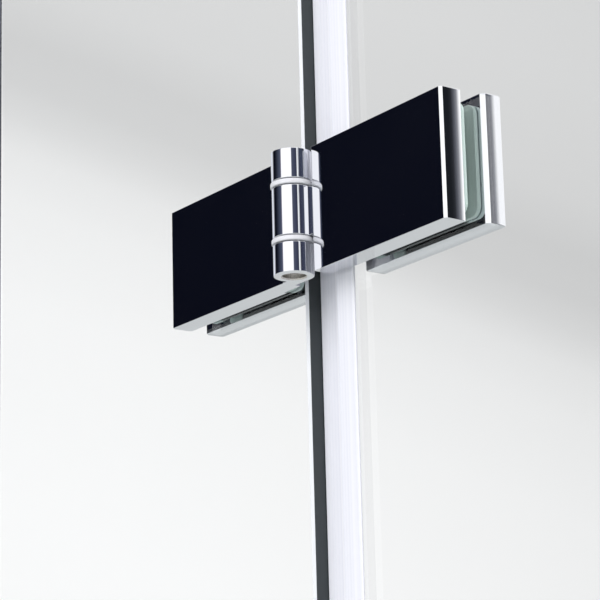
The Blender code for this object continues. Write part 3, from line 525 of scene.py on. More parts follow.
@dataclass
class Piece:
    """One closed object, made in one finish, whose place is in its mesh."""

    thing: bpy.types.Object
    finish: Finish

    @classmethod
    def through(cls, name: str, finish: Finish, rings: Array, loop: bool = False) -> "Piece":
        """Makes a closed skin through rings of points.

        Args:
            name: The object's name.
            finish: Its finish.
            rings: Points as (ring, point, xyz). A ring may shrink to one place, a pole.
            loop: True where the last ring meets the first, and else both ends get a cap.

        Returns:
            The piece, with its normals pointing out.
        """
        count, points = rings.shape[1], rings.reshape(-1, 3)
        faces = tube_faces(len(rings), count, loop).tolist()
        if not loop:
            faces.append(list(range(count)))
            faces.append(list(range(len(points) - count, len(points))))
        mesh = bpy.data.meshes.new(name)
        mesh.from_pydata(points.tolist(), [], faces)
        mesh.materials.append(finish.material())
        thing = bpy.data.objects.new(name, mesh)
        bpy.context.scene.collection.objects.link(thing)
        close_and_turn_out(mesh)
        return cls(thing, finish)

    @classmethod
    def extruded(cls, name: str, finish: Finish, outline: Array, low: float, high: float, axis: Axis = Axis.Z,
                 edge: float = 0.0, steps: int = 2) -> "Piece":
        """Carries a closed outline straight along one axis, with rounded end edges.

        Towards each end the outline shrinks by edge * (1 - cos a) while it moves on by edge * sin a, for a
        from 0 to 90 degrees, so that the end edge is a quarter round.

        Args:
            name: The object's name.
            finish: Its finish.
            outline: (x, y) for Z, (y, z) for X and (x, z) for Y.
            low: Where the first end lies along the axis.
            high: Where the last end lies.
            axis: The direction it is carried along.
            edge: Radius of the end edges.
            steps: Straight steps in each quarter round.

        Returns:
            The closed piece.
        """
        outline = wound(np.asarray(outline, float))
        turn = np.linspace(0, math.pi / 2, steps + 1) if edge else np.zeros(1)
        shrink, travel = edge * (1 - np.cos(turn)), edge * (1 - np.sin(turn))
        places = np.concatenate([low + travel[::-1], high - travel])
        shrinks = np.concatenate([shrink[::-1], shrink])
        flat = np.stack([inset(outline, distance) for distance in shrinks])
        along = np.broadcast_to(places[:, None], flat.shape[:2])
        return cls.through(name, finish, in_space(flat, along, axis))

    @classmethod
    def turned(cls, name: str, finish: Finish, profile: Array, centre: Sequence[float], axis: Axis = Axis.Z,
               sides: int = 64, ring: bool = False) -> "Piece":
        """Turns a (radius, height) profile about a line through centre.

        Args:
            name: The object's name.
            finish: Its finish.
            profile: Radius and height of each point; a radius of zero is a pole.
            centre: A point on the line, where height is zero.
            axis: The line's direction.
            sides: Points round the circle.
            ring: True where the profile closes on itself and leaves a hole.

        Returns:
            The closed piece.
        """
        profile = np.asarray(profile, float)
        angle = 2 * math.pi * (np.arange(sides) + 0.5) / sides
        radius, height = profile[:, :1], profile[:, 1]
        flat = np.stack([radius * np.cos(angle), radius * np.sin(angle)], axis=-1)
        along = np.broadcast_to(height[:, None], flat.shape[:2])
        return cls.through(name, finish, in_space(flat, along, axis) + np.asarray(centre), ring)

    def combine(self, other: "Piece", operation: str) -> None:
        """Unites this piece with another, or cuts the other out of it, and removes the other.

        Args:
            other: The tool, whose finish the new faces take.
            operation: UNION or DIFFERENCE.
        """
        change = self.thing.modifiers.new("combine", "BOOLEAN")
        change.operation = operation
        change.solver = "EXACT"
        change.material_mode = "TRANSFER"
        change.object = other.thing
        bpy.context.view_layer.update()
        evaluated = self.thing.evaluated_get(bpy.context.evaluated_depsgraph_get())
        mesh = bpy.data.meshes.new_from_object(evaluated)
        self.thing.modifiers.clear()
        old, self.thing.data = self.thing.data, mesh
        bpy.data.meshes.remove(old)
        bpy.data.objects.remove(other.thing)

    def join(self, *others: "Piece") -> None:
        """Unites this piece with others."""
        for other in others:
            self.combine(other, "UNION")

    def cut(self, *others: "Piece") -> None:
        """Cuts others out of this piece."""
        for other in others:
            self.combine(other, "DIFFERENCE")

    def show(self, body: Body, *nodes: str) -> None:
        """Shades the piece, ties it to its body, and puts it in the place of its solids.

        Args:
            body: The body that it moves with.
            nodes: The solids that it replaces.
        """
        mesh = self.thing.data
        mesh.shade_smooth()
        mesh.set_sharp_from_angle(angle=math.radians(SHARP_FROM))
        weighted = self.thing.modifiers.new("flat faces stay flat", "WEIGHTED_NORMAL")
        weighted.keep_sharp = True
        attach(self.thing, body.value)
        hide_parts(*nodes)
        LOG.info("%s: %d faces on %s", self.thing.name, len(mesh.polygons), body.value)


def middle(node: str) -> Vector:
    """The centre of a solid's box."""
    low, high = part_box(node)
    return (low + high) / 2


def rectangle(low: Sequence[float], high: Sequence[float]) -> Array:
    """The four corners of a plane rectangle, counter-clockwise."""
    return np.array([(low[0], low[1]), (high[0], low[1]), (high[0], high[1]), (low[0], high[1])])


def channel(low: Sequence[float], high: Sequence[float], wall: float, base: float, corner: float,
            on_its_back: bool) -> Array:
    """A U section with rounded corners, open towards the end of its first or its second direction.

    Args:
        low: The section's lower corner.
        high: Its upper corner.
        wall: Thickness of the two legs.
        base: Thickness between the legs.
        corner: Radius of its corners.
        on_its_back: True where it opens upwards, and else it opens along the first direction.

    Returns:
        The outline.
    """
    if on_its_back:
        swapped = channel((low[1], low[0]), (high[1], high[0]), wall, base, corner, False)
        return wound(swapped[:, ::-1])
    (a0, b0), (a1, b1) = low, high
    corners = [(a0, b0), (a1, b0), (a1, b0 + wall), (a0 + base, b0 + wall),
               (a0 + base, b1 - wall), (a1, b1 - wall), (a1, b1), (a0, b1)]
    return rounded(corners, corner, 3)


def turned_to_side(outline: Array, front: Sequence[float], side: Sequence[float]) -> Array:
    """Mirrors a section of the front wall about the corner's 45 degree line, to the side wall.

    Args:
        outline: The front section as (x, y).
        front: A point of the front section.
        side: Where that point comes to lie.

    Returns:
        The side section.
    """
    moved = outline - np.asarray(front)
    return np.stack([side[0] - moved[:, 1], side[1] - moved[:, 0]], axis=-1)


# Sub-assemblies


@dataclass
class Tray:
    """The cast tray: a flat rim, a shallow basin that falls to the waste, and the waste's recess."""

    rim: float = 75 * MM
    wall_run: float = 10 * MM
    basin_drop: float = 14 * MM
    basin_fall: float = 6 * MM
    edge_round: float = 4 * MM
    lip_round: float = 5 * MM
    cove_round: float = 9 * MM
    recess_round: float = 2 * MM
    hole_round: float = 1 * MM
    outer_corner: float = 12 * MM
    basin_corner: float = 60 * MM
    recess_radius: float = 60 * MM
    recess_drop: float = 5 * MM
    hole_radius: float = 45 * MM
    corner_steps: int = 12
    side_steps: int = 24
    floor_rings: int = 10

    def __post_init__(self) -> None:
        """Finds the tray's box and the drain's centre."""
        low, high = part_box("tray")
        drain = middle("drain_cover")
        self.centre, self.half, self.top = (low + high) / 2, (high - low) / 2, high.z
        self.drain = np.array([drain.x, drain.y])

    def build(self) -> None:
        """Carries one profile round the tray: up the outside, over the rim, down the basin and the drain."""
        base = self.top - self.basin_drop
        foot = self.rim + self.wall_run
        slope = rounded(
            [(0, 0), (0, self.top), (self.rim, self.top), (foot, base), (foot + self.rim, base)],
            [0, self.edge_round, self.lip_round, self.cove_round, 0], 6, closed=False,
        )[:-1]
        outer = np.stack([self.box_ring(reach, height) for reach, height in slope])
        toward = outer[-1, :, :2] - self.drain
        angle = np.arctan2(toward[:, 1], toward[:, 0])
        floor = base - self.basin_fall
        drop = floor - self.recess_drop
        well = rounded(
            [(self.recess_radius + self.rim, floor), (self.recess_radius, floor), (self.recess_radius, drop),
             (self.hole_radius, drop), (self.hole_radius, 0)],
            [0, self.recess_round, self.hole_round, self.hole_round, 0], 3, closed=False,
        )[1:]
        inner = np.stack([self.round_ring(angle, radius, height) for radius, height in well])
        share = np.linspace(0, 1, self.floor_rings + 1)[1:-1, None, None]
        floor_rings = outer[-1] * (1 - share) + inner[0] * share
        rings = np.concatenate([outer, floor_rings, inner])
        Piece.through("tray_cast", ACRYLIC, rings, loop=True).show(Body.CABIN, "tray")

    def box_ring(self, reach: float, height: float) -> Array:
        """A rounded square, reach inside the tray's outline.

        The corner radius follows the reach. Each corner's arc is followed by the straight to the next.

        Args:
            reach: How far inside the outline it lies.
            height: Its height.

        Returns:
            The ring's points.
        """
        reaches = (0, self.edge_round, self.rim, self.rim + self.wall_run + self.cove_round)
        radii = (self.outer_corner, self.outer_corner - self.edge_round, self.basin_corner, self.basin_corner)
        radius = float(np.interp(reach, reaches, radii))
        signs = np.array([(1, 1), (-1, 1), (-1, -1), (1, -1)])
        hubs = (np.array([self.half.x, self.half.y]) - reach - radius) * signs
        angle = np.radians(90 * np.arange(4)[:, None] + np.linspace(0, 90, self.corner_steps + 1))
        arcs = hubs[:, None] + radius * np.stack([np.cos(angle), np.sin(angle)], axis=-1)
        share = np.linspace(0, 1, self.side_steps + 1)[1:-1, None]
        straights = arcs[:, -1:] * (1 - share) + np.roll(arcs, -1, axis=0)[:, :1] * share
        flat = np.concatenate([arcs, straights], axis=1).reshape(-1, 2)
        flat = flat + np.array([self.centre.x, self.centre.y])
        return np.column_stack([flat, np.full(len(flat), height)])

    def round_ring(self, angle: Array, radius: float, height: float) -> Array:
        """A circle round the drain, with its points at the angles given."""
        flat = self.drain + radius * np.stack([np.cos(angle), np.sin(angle)], axis=-1)
        return np.column_stack([flat, np.full(len(flat), height)])


@dataclass
class Waste:
    """The steel cup that hangs in the drain hole, and the loose cover on it."""

    wall: float = 2.5 * MM
    flange: float = 2.5 * MM
    tube_radius: float = 44.4 * MM
    outlet_radius: float = 22 * MM
    soft: float = 0.8 * MM
    cover_thick: float = 2.5 * MM
    feet: int = 3
    foot_width: float = 3 * MM
    foot_length: float = 12 * MM
    sides: int = 96

    def build(self) -> None:
        """Makes the cup and the cover."""
        self.cup()
        self.cover()

    def cup(self) -> None:
        """Turns the cup with its flange and its outlet."""
        low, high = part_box("waste_body")
        seat, top, bottom = high.z - self.flange, high.z, low.z
        reach, bore = (high.x - low.x) / 2, self.tube_radius - self.wall
        corners = [
            (self.outlet_radius, bottom), (self.tube_radius, bottom), (self.tube_radius, seat),
            (reach, seat), (reach, top), (bore, top), (bore, bottom + self.wall),
            (self.outlet_radius, bottom + self.wall),
        ]
        profile = rounded(corners, [0, self.soft * 2, 0, 0, self.soft, self.soft, self.soft * 2, 0], 4)
        at = middle("waste_body")
        cup = Piece.turned("waste_body_spun", STEEL, profile, (at.x, at.y, 0), sides=self.sides, ring=True)
        cup.show(Body.CABIN, "waste_body")

    def cover(self) -> None:
        """Turns the cover, and sets its feet under it, one towards the room's corner side."""
        low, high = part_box("drain_cover")
        at = middle("drain_cover")
        reach, under = (high.y - low.y) / 2, high.z - self.cover_thick
        corners = [(0, under), (reach, under), (reach, high.z), (0, high.z)]
        profile = rounded(corners, [0, self.soft / 2, self.soft * 1.5, 0], 5)
        cover = Piece.turned("drain_cover_pressed", CHROME, profile, (at.x, at.y, 0), sides=self.sides)
        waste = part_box("waste_body")
        spot = ((waste[1].x - waste[0].x) / 2 + self.tube_radius - self.wall) / 2
        outline = rounded(rectangle((spot - self.foot_width / 2, -self.foot_length / 2),
                                    (spot + self.foot_width / 2, self.foot_length / 2)), self.soft, 3)
        for angle in np.radians(90 + 360 * np.arange(self.feet) / self.feet):
            cos, sin = math.cos(angle), math.sin(angle)
            place = outline @ np.array([(cos, sin), (-sin, cos)]) + (at.x, at.y)
            cover.join(Piece.extruded("foot", CHROME, place, low.z, under + self.soft, edge=self.soft / 2))
        cover.show(Body.COVER, "drain_cover")


@dataclass
class WallProfiles:
    """The two extruded channels on the room walls, with their glazing rubbers and end caps."""

    wall: float = 1.8 * MM
    corner: float = 0.5 * MM
    lip: float = 1.1 * MM
    end: float = 0.15 * MM
    cap_corner: float = 1.2 * MM
    cap_edge: float = 0.9 * MM

    def build(self) -> None:
        """Makes each section once, on the left wall, and again turned to the back wall."""
        low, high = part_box("wall_profile_left")
        section = channel(low.xy, high.xy, self.wall, self.wall, self.corner, False)
        self.pair("wall_profile", "extruded", ALUMINIUM, section, self.end)
        low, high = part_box("profile_gasket_left")
        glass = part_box("fixed_panel_glass")
        leg = glass[0].y - SEAT_GAP - low.y
        base = glass[0].x - SEAT_GAP - low.x
        section = channel(low.xy, high.xy, leg, base, self.lip, False)
        self.pair("profile_gasket", "extruded", RUBBER, section, self.end)
        low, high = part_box("profile_cap_left")
        section = rounded(rectangle(low.xy, high.xy), self.cap_corner)
        self.pair("profile_cap", "moulded", CAP_PLASTIC, section, self.cap_edge)

    def pair(self, name: str, way: str, finish: Finish, section: Array, edge: float) -> None:
        """Makes the left piece and the back piece of one section.

        Args:
            name: The solids' name without its side.
            way: How it is made, for the piece's name.
            finish: Its finish.
            section: The left piece's section.
            edge: Radius of its end edges.
        """
        low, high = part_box(f"{name}_left")
        left = Piece.extruded(f"{name}_left_{way}", finish, section, low.z, high.z, edge=edge)
        left.show(Body.CABIN, f"{name}_left")
        _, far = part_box(f"{name}_back")
        turned = turned_to_side(section, low.xy, far.xy)
        back = Piece.extruded(f"{name}_back_{way}", finish, turned, low.z, high.z, edge=edge)
        back.show(Body.CABIN, f"{name}_back")


@dataclass
class FloorRails:
    """The channels on the rim that the fixed panes stand in, and the low water bar under the door."""

    wall: float = 1.6 * MM
    corner: float = 0.4 * MM
    end: float = 0.15 * MM
    bar_slope: float = 4 * MM
    bar_round: float = 2.5 * MM
    bar_foot: float = 0.3 * MM

    def build(self) -> None:
        """Makes the two rails and the bar."""
        for node, axis in (("bottom_rail_front", Axis.X), ("bottom_rail_side", Axis.Y)):
            low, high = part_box(node)
            across, along = (1, 0) if axis is Axis.X else (0, 1)
            near, far = (low[across], low.z), (high[across], high.z)
            section = channel(near, far, self.wall, self.wall, self.corner, True)
            name = f"{node}_extruded"
            rail = Piece.extruded(name, ALUMINIUM, section, low[along], high[along], axis, self.end)
            rail.show(Body.CABIN, node)
        low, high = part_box("threshold_bar")
        corners = [(low.y, low.z), (high.y, low.z), (high.y - self.bar_slope, high.z),
                   (low.y + self.bar_slope, high.z)]
        section = rounded(corners, [self.bar_foot, self.bar_foot, self.bar_round, self.bar_round], 5)
        name, edge = "threshold_bar_extruded", self.end * 2
        bar = Piece.extruded(name, ALUMINIUM, section, low.x, high.x, Axis.X, edge)
        bar.show(Body.CABIN, "threshold_bar")


@dataclass
class GlassPane:
    """A toughened pane: clear faces, a polished edge, and a ground arris between them.

    It is thin along x or y, given as 0 or 1, and the bolts named go through holes in it.
    """

    node: str
    body: Body
    thin: int
    bolts: Sequence[str] = ()
    arris: float = 1.0 * MM
    hole: float = 5.0 * MM
    hole_sides: int = 48
    face_from: float = 0.9
    arris_from: float = 0.4

    def build(self) -> None:
        """Makes the pane with its holes, then gives each face the finish it was worked to."""
        low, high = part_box(self.node)
        axis = Axis.Y if self.thin == 1 else Axis.X
        a, b = (k for k in range(3) if k != self.thin)
        outline = rectangle((low[a], low[b]), (high[a], high[b]))
        rings = np.stack([inset(outline, self.arris), outline, outline, inset(outline, self.arris)])
        front, back = low[self.thin], high[self.thin]
        depth = np.array([front, front + self.arris, back - self.arris, back])
        along = np.broadcast_to(depth[:, None], rings.shape[:2])
        pane = Piece.through(f"{self.node}_toughened", GLASS, in_space(rings, along, axis))
        for bolt in self.bolts:
            at = middle(bolt)
            bore = circle((at.x, at.z), self.hole, self.hole_sides)
            pane.cut(Piece.extruded("drill", EDGE, bore, front - OVERRUN, back + OVERRUN, Axis.Y))
        self.dress(pane.thing.data)
        # The chrome mirrors the studio and not the panes, whose own mirror images would grey it.
        pane.thing.visible_glossy = False
        pane.show(self.body, self.node)

    def dress(self, mesh: bpy.types.Mesh) -> None:
        """Chooses each face's finish by its normal's share along the pane's own.

        The pane's face has nearly all of it, the arris at 45 degrees less, and the edge none.

        Args:
            mesh: The pane's mesh.
        """
        mesh.materials.clear()
        for finish in (GLASS, ARRIS, EDGE):
            mesh.materials.append(finish.material())
        normals = np.zeros(len(mesh.polygons) * 3)
        mesh.polygons.foreach_get("normal", normals)
        lean = np.abs(normals.reshape(-1, 3)[:, self.thin])
        # The edge and the bores' walls take EDGE, a painted dark shade.
        choice = np.where(lean > self.face_from, 0, np.where(lean > self.arris_from, 1, 2))
        mesh.polygons.foreach_set("material_index", choice.astype(np.int32))


@dataclass
class BarrelHinge:
    """One glass-to-glass hinge: front plates with knuckles, back plates, pads, pin, washers and screws."""

    prefix: str
    barrel_radius: float = 8.0 * MM
    bore_radius: float = 4.6 * MM
    axis_forward: float = 2.0 * MM
    plate_inner: float = 10.5 * MM
    plate_bevel: float = 1.05 * MM
    plate_lean: float = 0.0
    plate_fall: float = 0.30 * MM
    relief_reach: float = 22.0 * MM
    relief_depth: float = 1.3 * MM
    back_bevel: float = 1.5 * MM
    back_lean: float = 0.20 * MM
    back_fall: float = 0.21 * MM
    rear_round: float = 1.2 * MM
    edge_round: float = 0.25 * MM
    knuckle_round: float = 0.5 * MM
    pad_corner: float = 4.0 * MM
    end_steps: int = 12
    hole_sides: int = 32
    screw_radius: float = 2.5 * MM
    screw_hole: float = 5.0 * MM
    socket_radius: float = 1.8 * MM
    socket_depth: float = 1.5 * MM
    head_depth: float = 2.4 * MM
    sides: int = 96
    axis: Vector = field(init=False)

    def __post_init__(self) -> None:
        """Finds the hinge axis at this hinge's pin."""
        self.axis = middle(f"{self.prefix}_pin")

    def build(self) -> None:
        """Makes both halves, then the pin and its washers."""
        for kind, side, body in (("fixed", -1, Body.CABIN), ("door", 1, Body.DOOR)):
            self.leaf(kind, side, body)
            self.back_plate(kind, side, body)
            for layer in ("front", "back"):
                self.pad(kind, layer, body)
            for place in ("inner", "outer"):
                self.screw(f"{self.prefix}_{kind}_screw_{place}", body)
        self.pin()
        for end in ("top", "bottom"):
            self.washer(f"{self.prefix}_washer_{end}")

    def reach(self, node: str, side: int) -> tuple[float, float]:
        """How near to the axis and how far from it a solid lies, on its side."""
        low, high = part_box(node)
        ends = sorted(((low.x - self.axis.x) * side, (high.x - self.axis.x) * side))
        return ends[0], ends[1]

    def section(self, outline: Array, side: int) -> Array:
        """Moves an outline given round the axis, on the right half, to its place on either half."""
        return outline * (side, 1) + (self.axis.x, self.axis.y)

    def plate_outline(self, inner: float, outer: float, front: float, rear: float, bevel: float, lean: float,
                      fall: float, soft: float) -> Array:
        """A plate from above: a flat face, a bevel, an end that falls away, and a rounded rear corner.

        Behind the bevel the end falls back by lean * s + fall * s * s, for s from 0 at the bevel to 1 at the
        rear, so that it mirrors a wider part of the room than a flat one.

        Args:
            inner: Where the plate starts, from the axis.
            outer: How far its end reaches.
            front: Its front face.
            rear: Its rear face.
            bevel: Size of the 45 degree bevel at its outer end.
            lean: How far its end would fall back if it were straight.
            fall: How far its end falls back besides, as a curve.
            soft: Radius of its rear corner.

        Returns:
            The outline, on the right half.
        """
        share = np.linspace(0, 1, self.end_steps + 1)
        depth = front + bevel + (rear - front - bevel) * share
        end = np.stack([outer - lean * share - fall * share**2, depth], axis=-1)
        end = end[end[:, 1] <= rear - soft]
        corners = [end[-1], (outer - lean - fall, rear), (inner, rear), (inner, front)]
        rest = rounded(corners, [0, soft, self.edge_round, self.edge_round], closed=False)
        return np.concatenate([[(outer - bevel, front)], end, rest[1:]])

    def relieved(self, outline: Array, rear: float) -> Array:
        """Steps a front plate's rear back next to the barrel, where the pane's edge and the seal lie.

        Args:
            outline: The plate's outline, whose rear face runs straight from its outer to its inner end.
            rear: Where that face lies.

        Returns:
            The outline with the step in it.
        """
        near, step = self.relief_reach, rear - self.relief_depth
        on_rear = np.flatnonzero(outline[:, 1] > rear - MERGE)
        before, after = outline[: on_rear[-1]], outline[on_rear[-1]:]
        inner = after[after[:, 1] < step]
        soft = self.edge_round
        corners = [(near + soft * 2, rear), (near, rear), (near, step), (self.plate_inner, step), inner[0]]
        return np.concatenate([before, rounded(corners, [0, soft, soft, soft, 0], closed=False), inner[1:]])

    def knuckle_outline(self) -> Array:
        """A knuckle from above: the barrel, and the tab that joins it to the plate."""
        junction = math.degrees(math.asin(self.axis_forward / self.barrel_radius))
        barrel = arc((0, 0), self.barrel_radius, 90, 360 + junction, self.sides * 3 // 4)
        inside = self.plate_inner + 2 * self.edge_round
        tab = [(inside, self.axis_forward), (inside, self.barrel_radius)]
        return np.concatenate([barrel, tab])

    def leaf(self, kind: str, side: int, body: Body) -> None:
        """Makes a front plate with its knuckles, bored for the pin.

        Args:
            kind: Which half: fixed or door.
            side: -1 for the left half, 1 for the right.
            body: The body that it moves with.
        """
        node = f"{self.prefix}_{kind}_leaf"
        low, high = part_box(node)
        _, outer = self.reach(node, side)
        rear = high.y - self.axis.y
        outline = self.plate_outline(self.plate_inner, outer, self.axis_forward, rear, self.plate_bevel,
                                     self.plate_lean, self.plate_fall, self.edge_round)
        outline = self.relieved(outline, rear)
        plate = self.section(outline, side)
        leaf = Piece.extruded(f"{node}_cast", CHROME, plate, low.z, high.z, edge=self.edge_round)
        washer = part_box(f"{self.prefix}_washer_top")
        middle_top = washer[0].z - SEAT_GAP - self.axis.z
        slot_top = washer[1].z + SEAT_GAP - self.axis.z
        half = (high.z - low.z) / 2
        spans = [(-middle_top, middle_top)] if kind == "door" else [(slot_top, half), (-half, -slot_top)]
        section = self.section(self.knuckle_outline(), side)
        for start, end in spans:
            leaf.join(Piece.extruded("knuckle", CHROME, section, self.axis.z + start, self.axis.z + end,
                                     edge=self.knuckle_round))
        flared, flare = self.bore_radius + self.knuckle_round + OVERRUN, half + OVERRUN
        straight = half - self.knuckle_round
        drill = [(0, -flare), (flared, -flare), (self.bore_radius, -straight), (self.bore_radius, straight),
                 (flared, flare), (0, flare)]
        leaf.cut(Piece.turned("bore", BORE, drill, self.axis, sides=self.sides // 2))
        leaf.show(body, node)

    def back_plate(self, kind: str, side: int, body: Body) -> None:
        """Makes the plate inside the cabin, countersunk for its two screws.

        Args:
            kind: Which half: fixed or door.
            side: -1 for the left half, 1 for the right.
            body: The body that it moves with.
        """
        node = f"{self.prefix}_{kind}_back_plate"
        low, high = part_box(node)
        front, rear = low.y - self.axis.y, high.y - self.axis.y
        inner, outer = self.reach(node, side)
        outline = self.plate_outline(inner, outer, front, rear, self.back_bevel, self.back_lean,
                                     self.back_fall, self.rear_round)
        plate = Piece.extruded(f"{node}_cast", CHROME, self.section(outline, side), low.z, high.z,
                               edge=self.edge_round * 2)
        for place in ("inner", "outer"):
            near, far = self.reach(f"{self.prefix}_{kind}_screw_{place}", side)
            centre = (self.axis.x + side * (near + far) / 2, high.y, self.axis.z)
            wide, narrow = (far - near) / 2 + 2 * SEAT_GAP, self.screw_radius + 2 * SEAT_GAP
            through = front - rear - OVERRUN
            sink = [(0, through), (narrow, through), (narrow, -self.head_depth - 2 * SEAT_GAP),
                    (wide, -2 * SEAT_GAP), (wide, OVERRUN), (0, OVERRUN)]
            plate.cut(Piece.turned("sink", CHROME, sink, centre, Axis.Y, self.sides // 2))
        plate.show(body, node)

    def pad(self, kind: str, layer: str, body: Body) -> None:
        """Makes a pad between plate and glass, with its two screw holes.

        Args:
            kind: Which half: fixed or door.
            layer: front or back.
            body: The body that it moves with.
        """
        node = f"{self.prefix}_{kind}_gasket_{layer}"
        low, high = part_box(node)
        outline = rounded(rectangle((low.x, low.z), (high.x, high.z)), self.pad_corner, 8)
        pad = Piece.extruded(f"{node}_moulded", PAD, outline, low.y, high.y, Axis.Y, self.edge_round)
        for place in ("inner", "outer"):
            at = middle(f"{self.prefix}_{kind}_screw_{place}")
            hole = circle((at.x, at.z), self.screw_hole, self.hole_sides)
            pad.cut(Piece.extruded("hole", PAD, hole, low.y - OVERRUN, high.y + OVERRUN, Axis.Y))
        pad.show(body, node)

    def screw(self, node: str, body: Body) -> None:
        """Makes a countersunk screw whose head has a hexagon socket."""
        low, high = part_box(node)
        at = (middle(node).x, high.y, self.axis.z)
        length, head = high.y - low.y, (high.x - low.x) / 2
        corners = [(0, -length), (self.screw_radius, -length), (self.screw_radius, -self.head_depth),
                   (head, -SEAT_GAP), (head, 0), (0, 0)]
        soft = self.edge_round
        profile = rounded(corners, [0, soft, 0, soft / 2, soft / 2, 0], 2)
        screw = Piece.turned(f"{node}_turned", STEEL, profile, at, Axis.Y, self.sides // 2)
        socket = circle((at[0], at[2]), self.socket_radius, HEXAGON_SIDES)
        screw.cut(Piece.extruded("socket", STEEL, socket, at[1] - self.socket_depth, at[1] + OVERRUN, Axis.Y))
        screw.show(body, node)

    def pin(self) -> None:
        """Makes the pin, with a lathe's centre mark in each end."""
        node = f"{self.prefix}_pin"
        low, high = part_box(node)
        half, radius = (high.z - low.z) / 2, (high.x - low.x) / 2
        mark, soft = radius / 3, self.knuckle_round
        corners = [(0, mark - half), (mark, -half), (radius, -half)]
        corners += [(radius, half), (mark, half), (0, half - mark)]
        profile = rounded(corners, [0, 0, soft, soft, 0, 0], 3)
        Piece.turned(f"{node}_turned", STEEL, profile, self.axis, sides=self.sides).show(Body.CABIN, node)

    def washer(self, node: str) -> None:
        """Makes a bearing washer whose rim stands a little proud of the barrel."""
        low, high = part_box(node)
        outer, half, soft = (high.x - low.x) / 2, (high.z - low.z) / 2, self.knuckle_round
        corners = [(self.bore_radius, -half), (outer, -half), (outer, half), (self.bore_radius, half)]
        profile = rounded(corners, [0, soft, soft, 0])
        washer = Piece.turned(f"{node}_moulded", NYLON, profile, middle(node), sides=self.sides, ring=True)
        washer.show(Body.CABIN, node)


@dataclass
class EdgeSeals:
    """The vinyl strips on the door's edges and on the side panel's front edge."""

    wall: float = 1.0 * MM
    fin_from_rear: float = 0.6 * MM
    magnet_wall: float = 1.2 * MM
    lip_lean: float = 4.0 * MM
    corner: float = 0.35 * MM
    end: float = 0.15 * MM

    def __post_init__(self) -> None:
        """Finds the door glass, and the seats in front of it and behind it that the strips clip on."""
        self.glass_low, self.glass_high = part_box("door_glass")
        self.front = self.glass_low.y - SEAT_GAP
        self.back = self.glass_high.y + SEAT_GAP

    def build(self) -> None:
        """Makes the hinge seal, the two magnet seals and the drip seal."""
        self.hinge_seal()
        self.magnet_seals()
        self.drip_seal()

    def strip(self, node: str, finish: Finish, corners: Sequence[Sequence[float]], body: Body,
              axis: Axis = Axis.Z, behind: tuple[Finish, float] | None = None) -> None:
        """Draws one strip through its die.

        Args:
            node: The solid that it replaces.
            finish: Its finish.
            corners: The section's corners.
            body: The body that it moves with.
            axis: The direction that it runs in.
            behind: Another finish, and the y from which the strip's faces have it.
        """
        low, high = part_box(node)
        along = axis.value.index(2)
        section = rounded(corners, self.corner, 3)
        strip = Piece.extruded(f"{node}_extruded", finish, section, low[along], high[along], axis, self.end)
        if behind:
            mesh = strip.thing.data
            mesh.materials.append(behind[0].material())
            centres = np.zeros(len(mesh.polygons) * 3)
            mesh.polygons.foreach_get("center", centres)
            mesh.polygons.foreach_set("material_index", (centres[1::3] > behind[1]).astype(np.int32))
        strip.show(body, node)

    def hinge_seal(self) -> None:
        """Makes the clip on the door's hinge edge, with the fin that closes the gap."""
        low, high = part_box("door_hinge_seal")
        front, back, wall = self.front, self.back, self.wall
        web = self.glass_low.x - SEAT_GAP
        fin = self.glass_high.y - self.fin_from_rear
        corners = [
            (low.x, fin - wall), (web - wall, fin - wall), (web - wall, front - wall), (high.x, front - wall),
            (high.x, front), (web, front), (web, back), (high.x, back), (high.x, back + wall),
            (web - wall, back + wall), (web - wall, fin), (low.x, fin),
        ]
        # The leg behind the pane takes the unlit copy, without the painted glow.
        behind = (SEAL_BACK, back - SEAT_GAP / 2)
        self.strip("door_hinge_seal", SEAL_VINYL, corners, Body.DOOR, behind=behind)

    def magnet_seals(self) -> None:
        """Makes the door's magnet seal, with its 45 degree face, and its mirror on the side panel."""
        low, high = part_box("door_magnet_seal")
        front, back, wall = self.front, self.back, self.magnet_wall
        web = self.glass_high.x + SEAT_GAP
        meet = high.x + front - wall
        corners = [
            (low.x, front - wall), (high.x, front - wall), (meet - back - wall, back + wall),
            (low.x, back + wall), (low.x, back), (web, back), (web, front), (low.x, front),
        ]
        self.strip("door_magnet_seal", MAGNET_VINYL, corners, Body.DOOR)
        side_low, side_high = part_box("side_magnet_seal")
        turned = turned_to_side(np.array(corners), (high.x, low.y), (side_high.x, side_low.y))
        self.strip("side_magnet_seal", MAGNET_VINYL, turned, Body.CABIN)

    def drip_seal(self) -> None:
        """Makes the clip along the door's bottom edge, with a lip that leans in over the threshold."""
        low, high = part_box("door_drip_seal")
        front, back, wall = self.front, self.back, self.wall
        web = self.glass_low.z - SEAT_GAP
        centre, half = (front + back) / 2, self.wall / 2
        corners = [
            (front - wall, high.z), (front - wall, web - wall), (centre - half, web - wall),
            (centre - half + self.lip_lean, low.z), (centre + half + self.lip_lean, low.z),
            (centre + half, web - wall), (back + wall, web - wall), (back + wall, high.z),
            (back, high.z), (back, web), (front, web), (front, high.z),
        ]
        self.strip("door_drip_seal", SEAL_VINYL, corners, Body.DOOR, Axis.X)


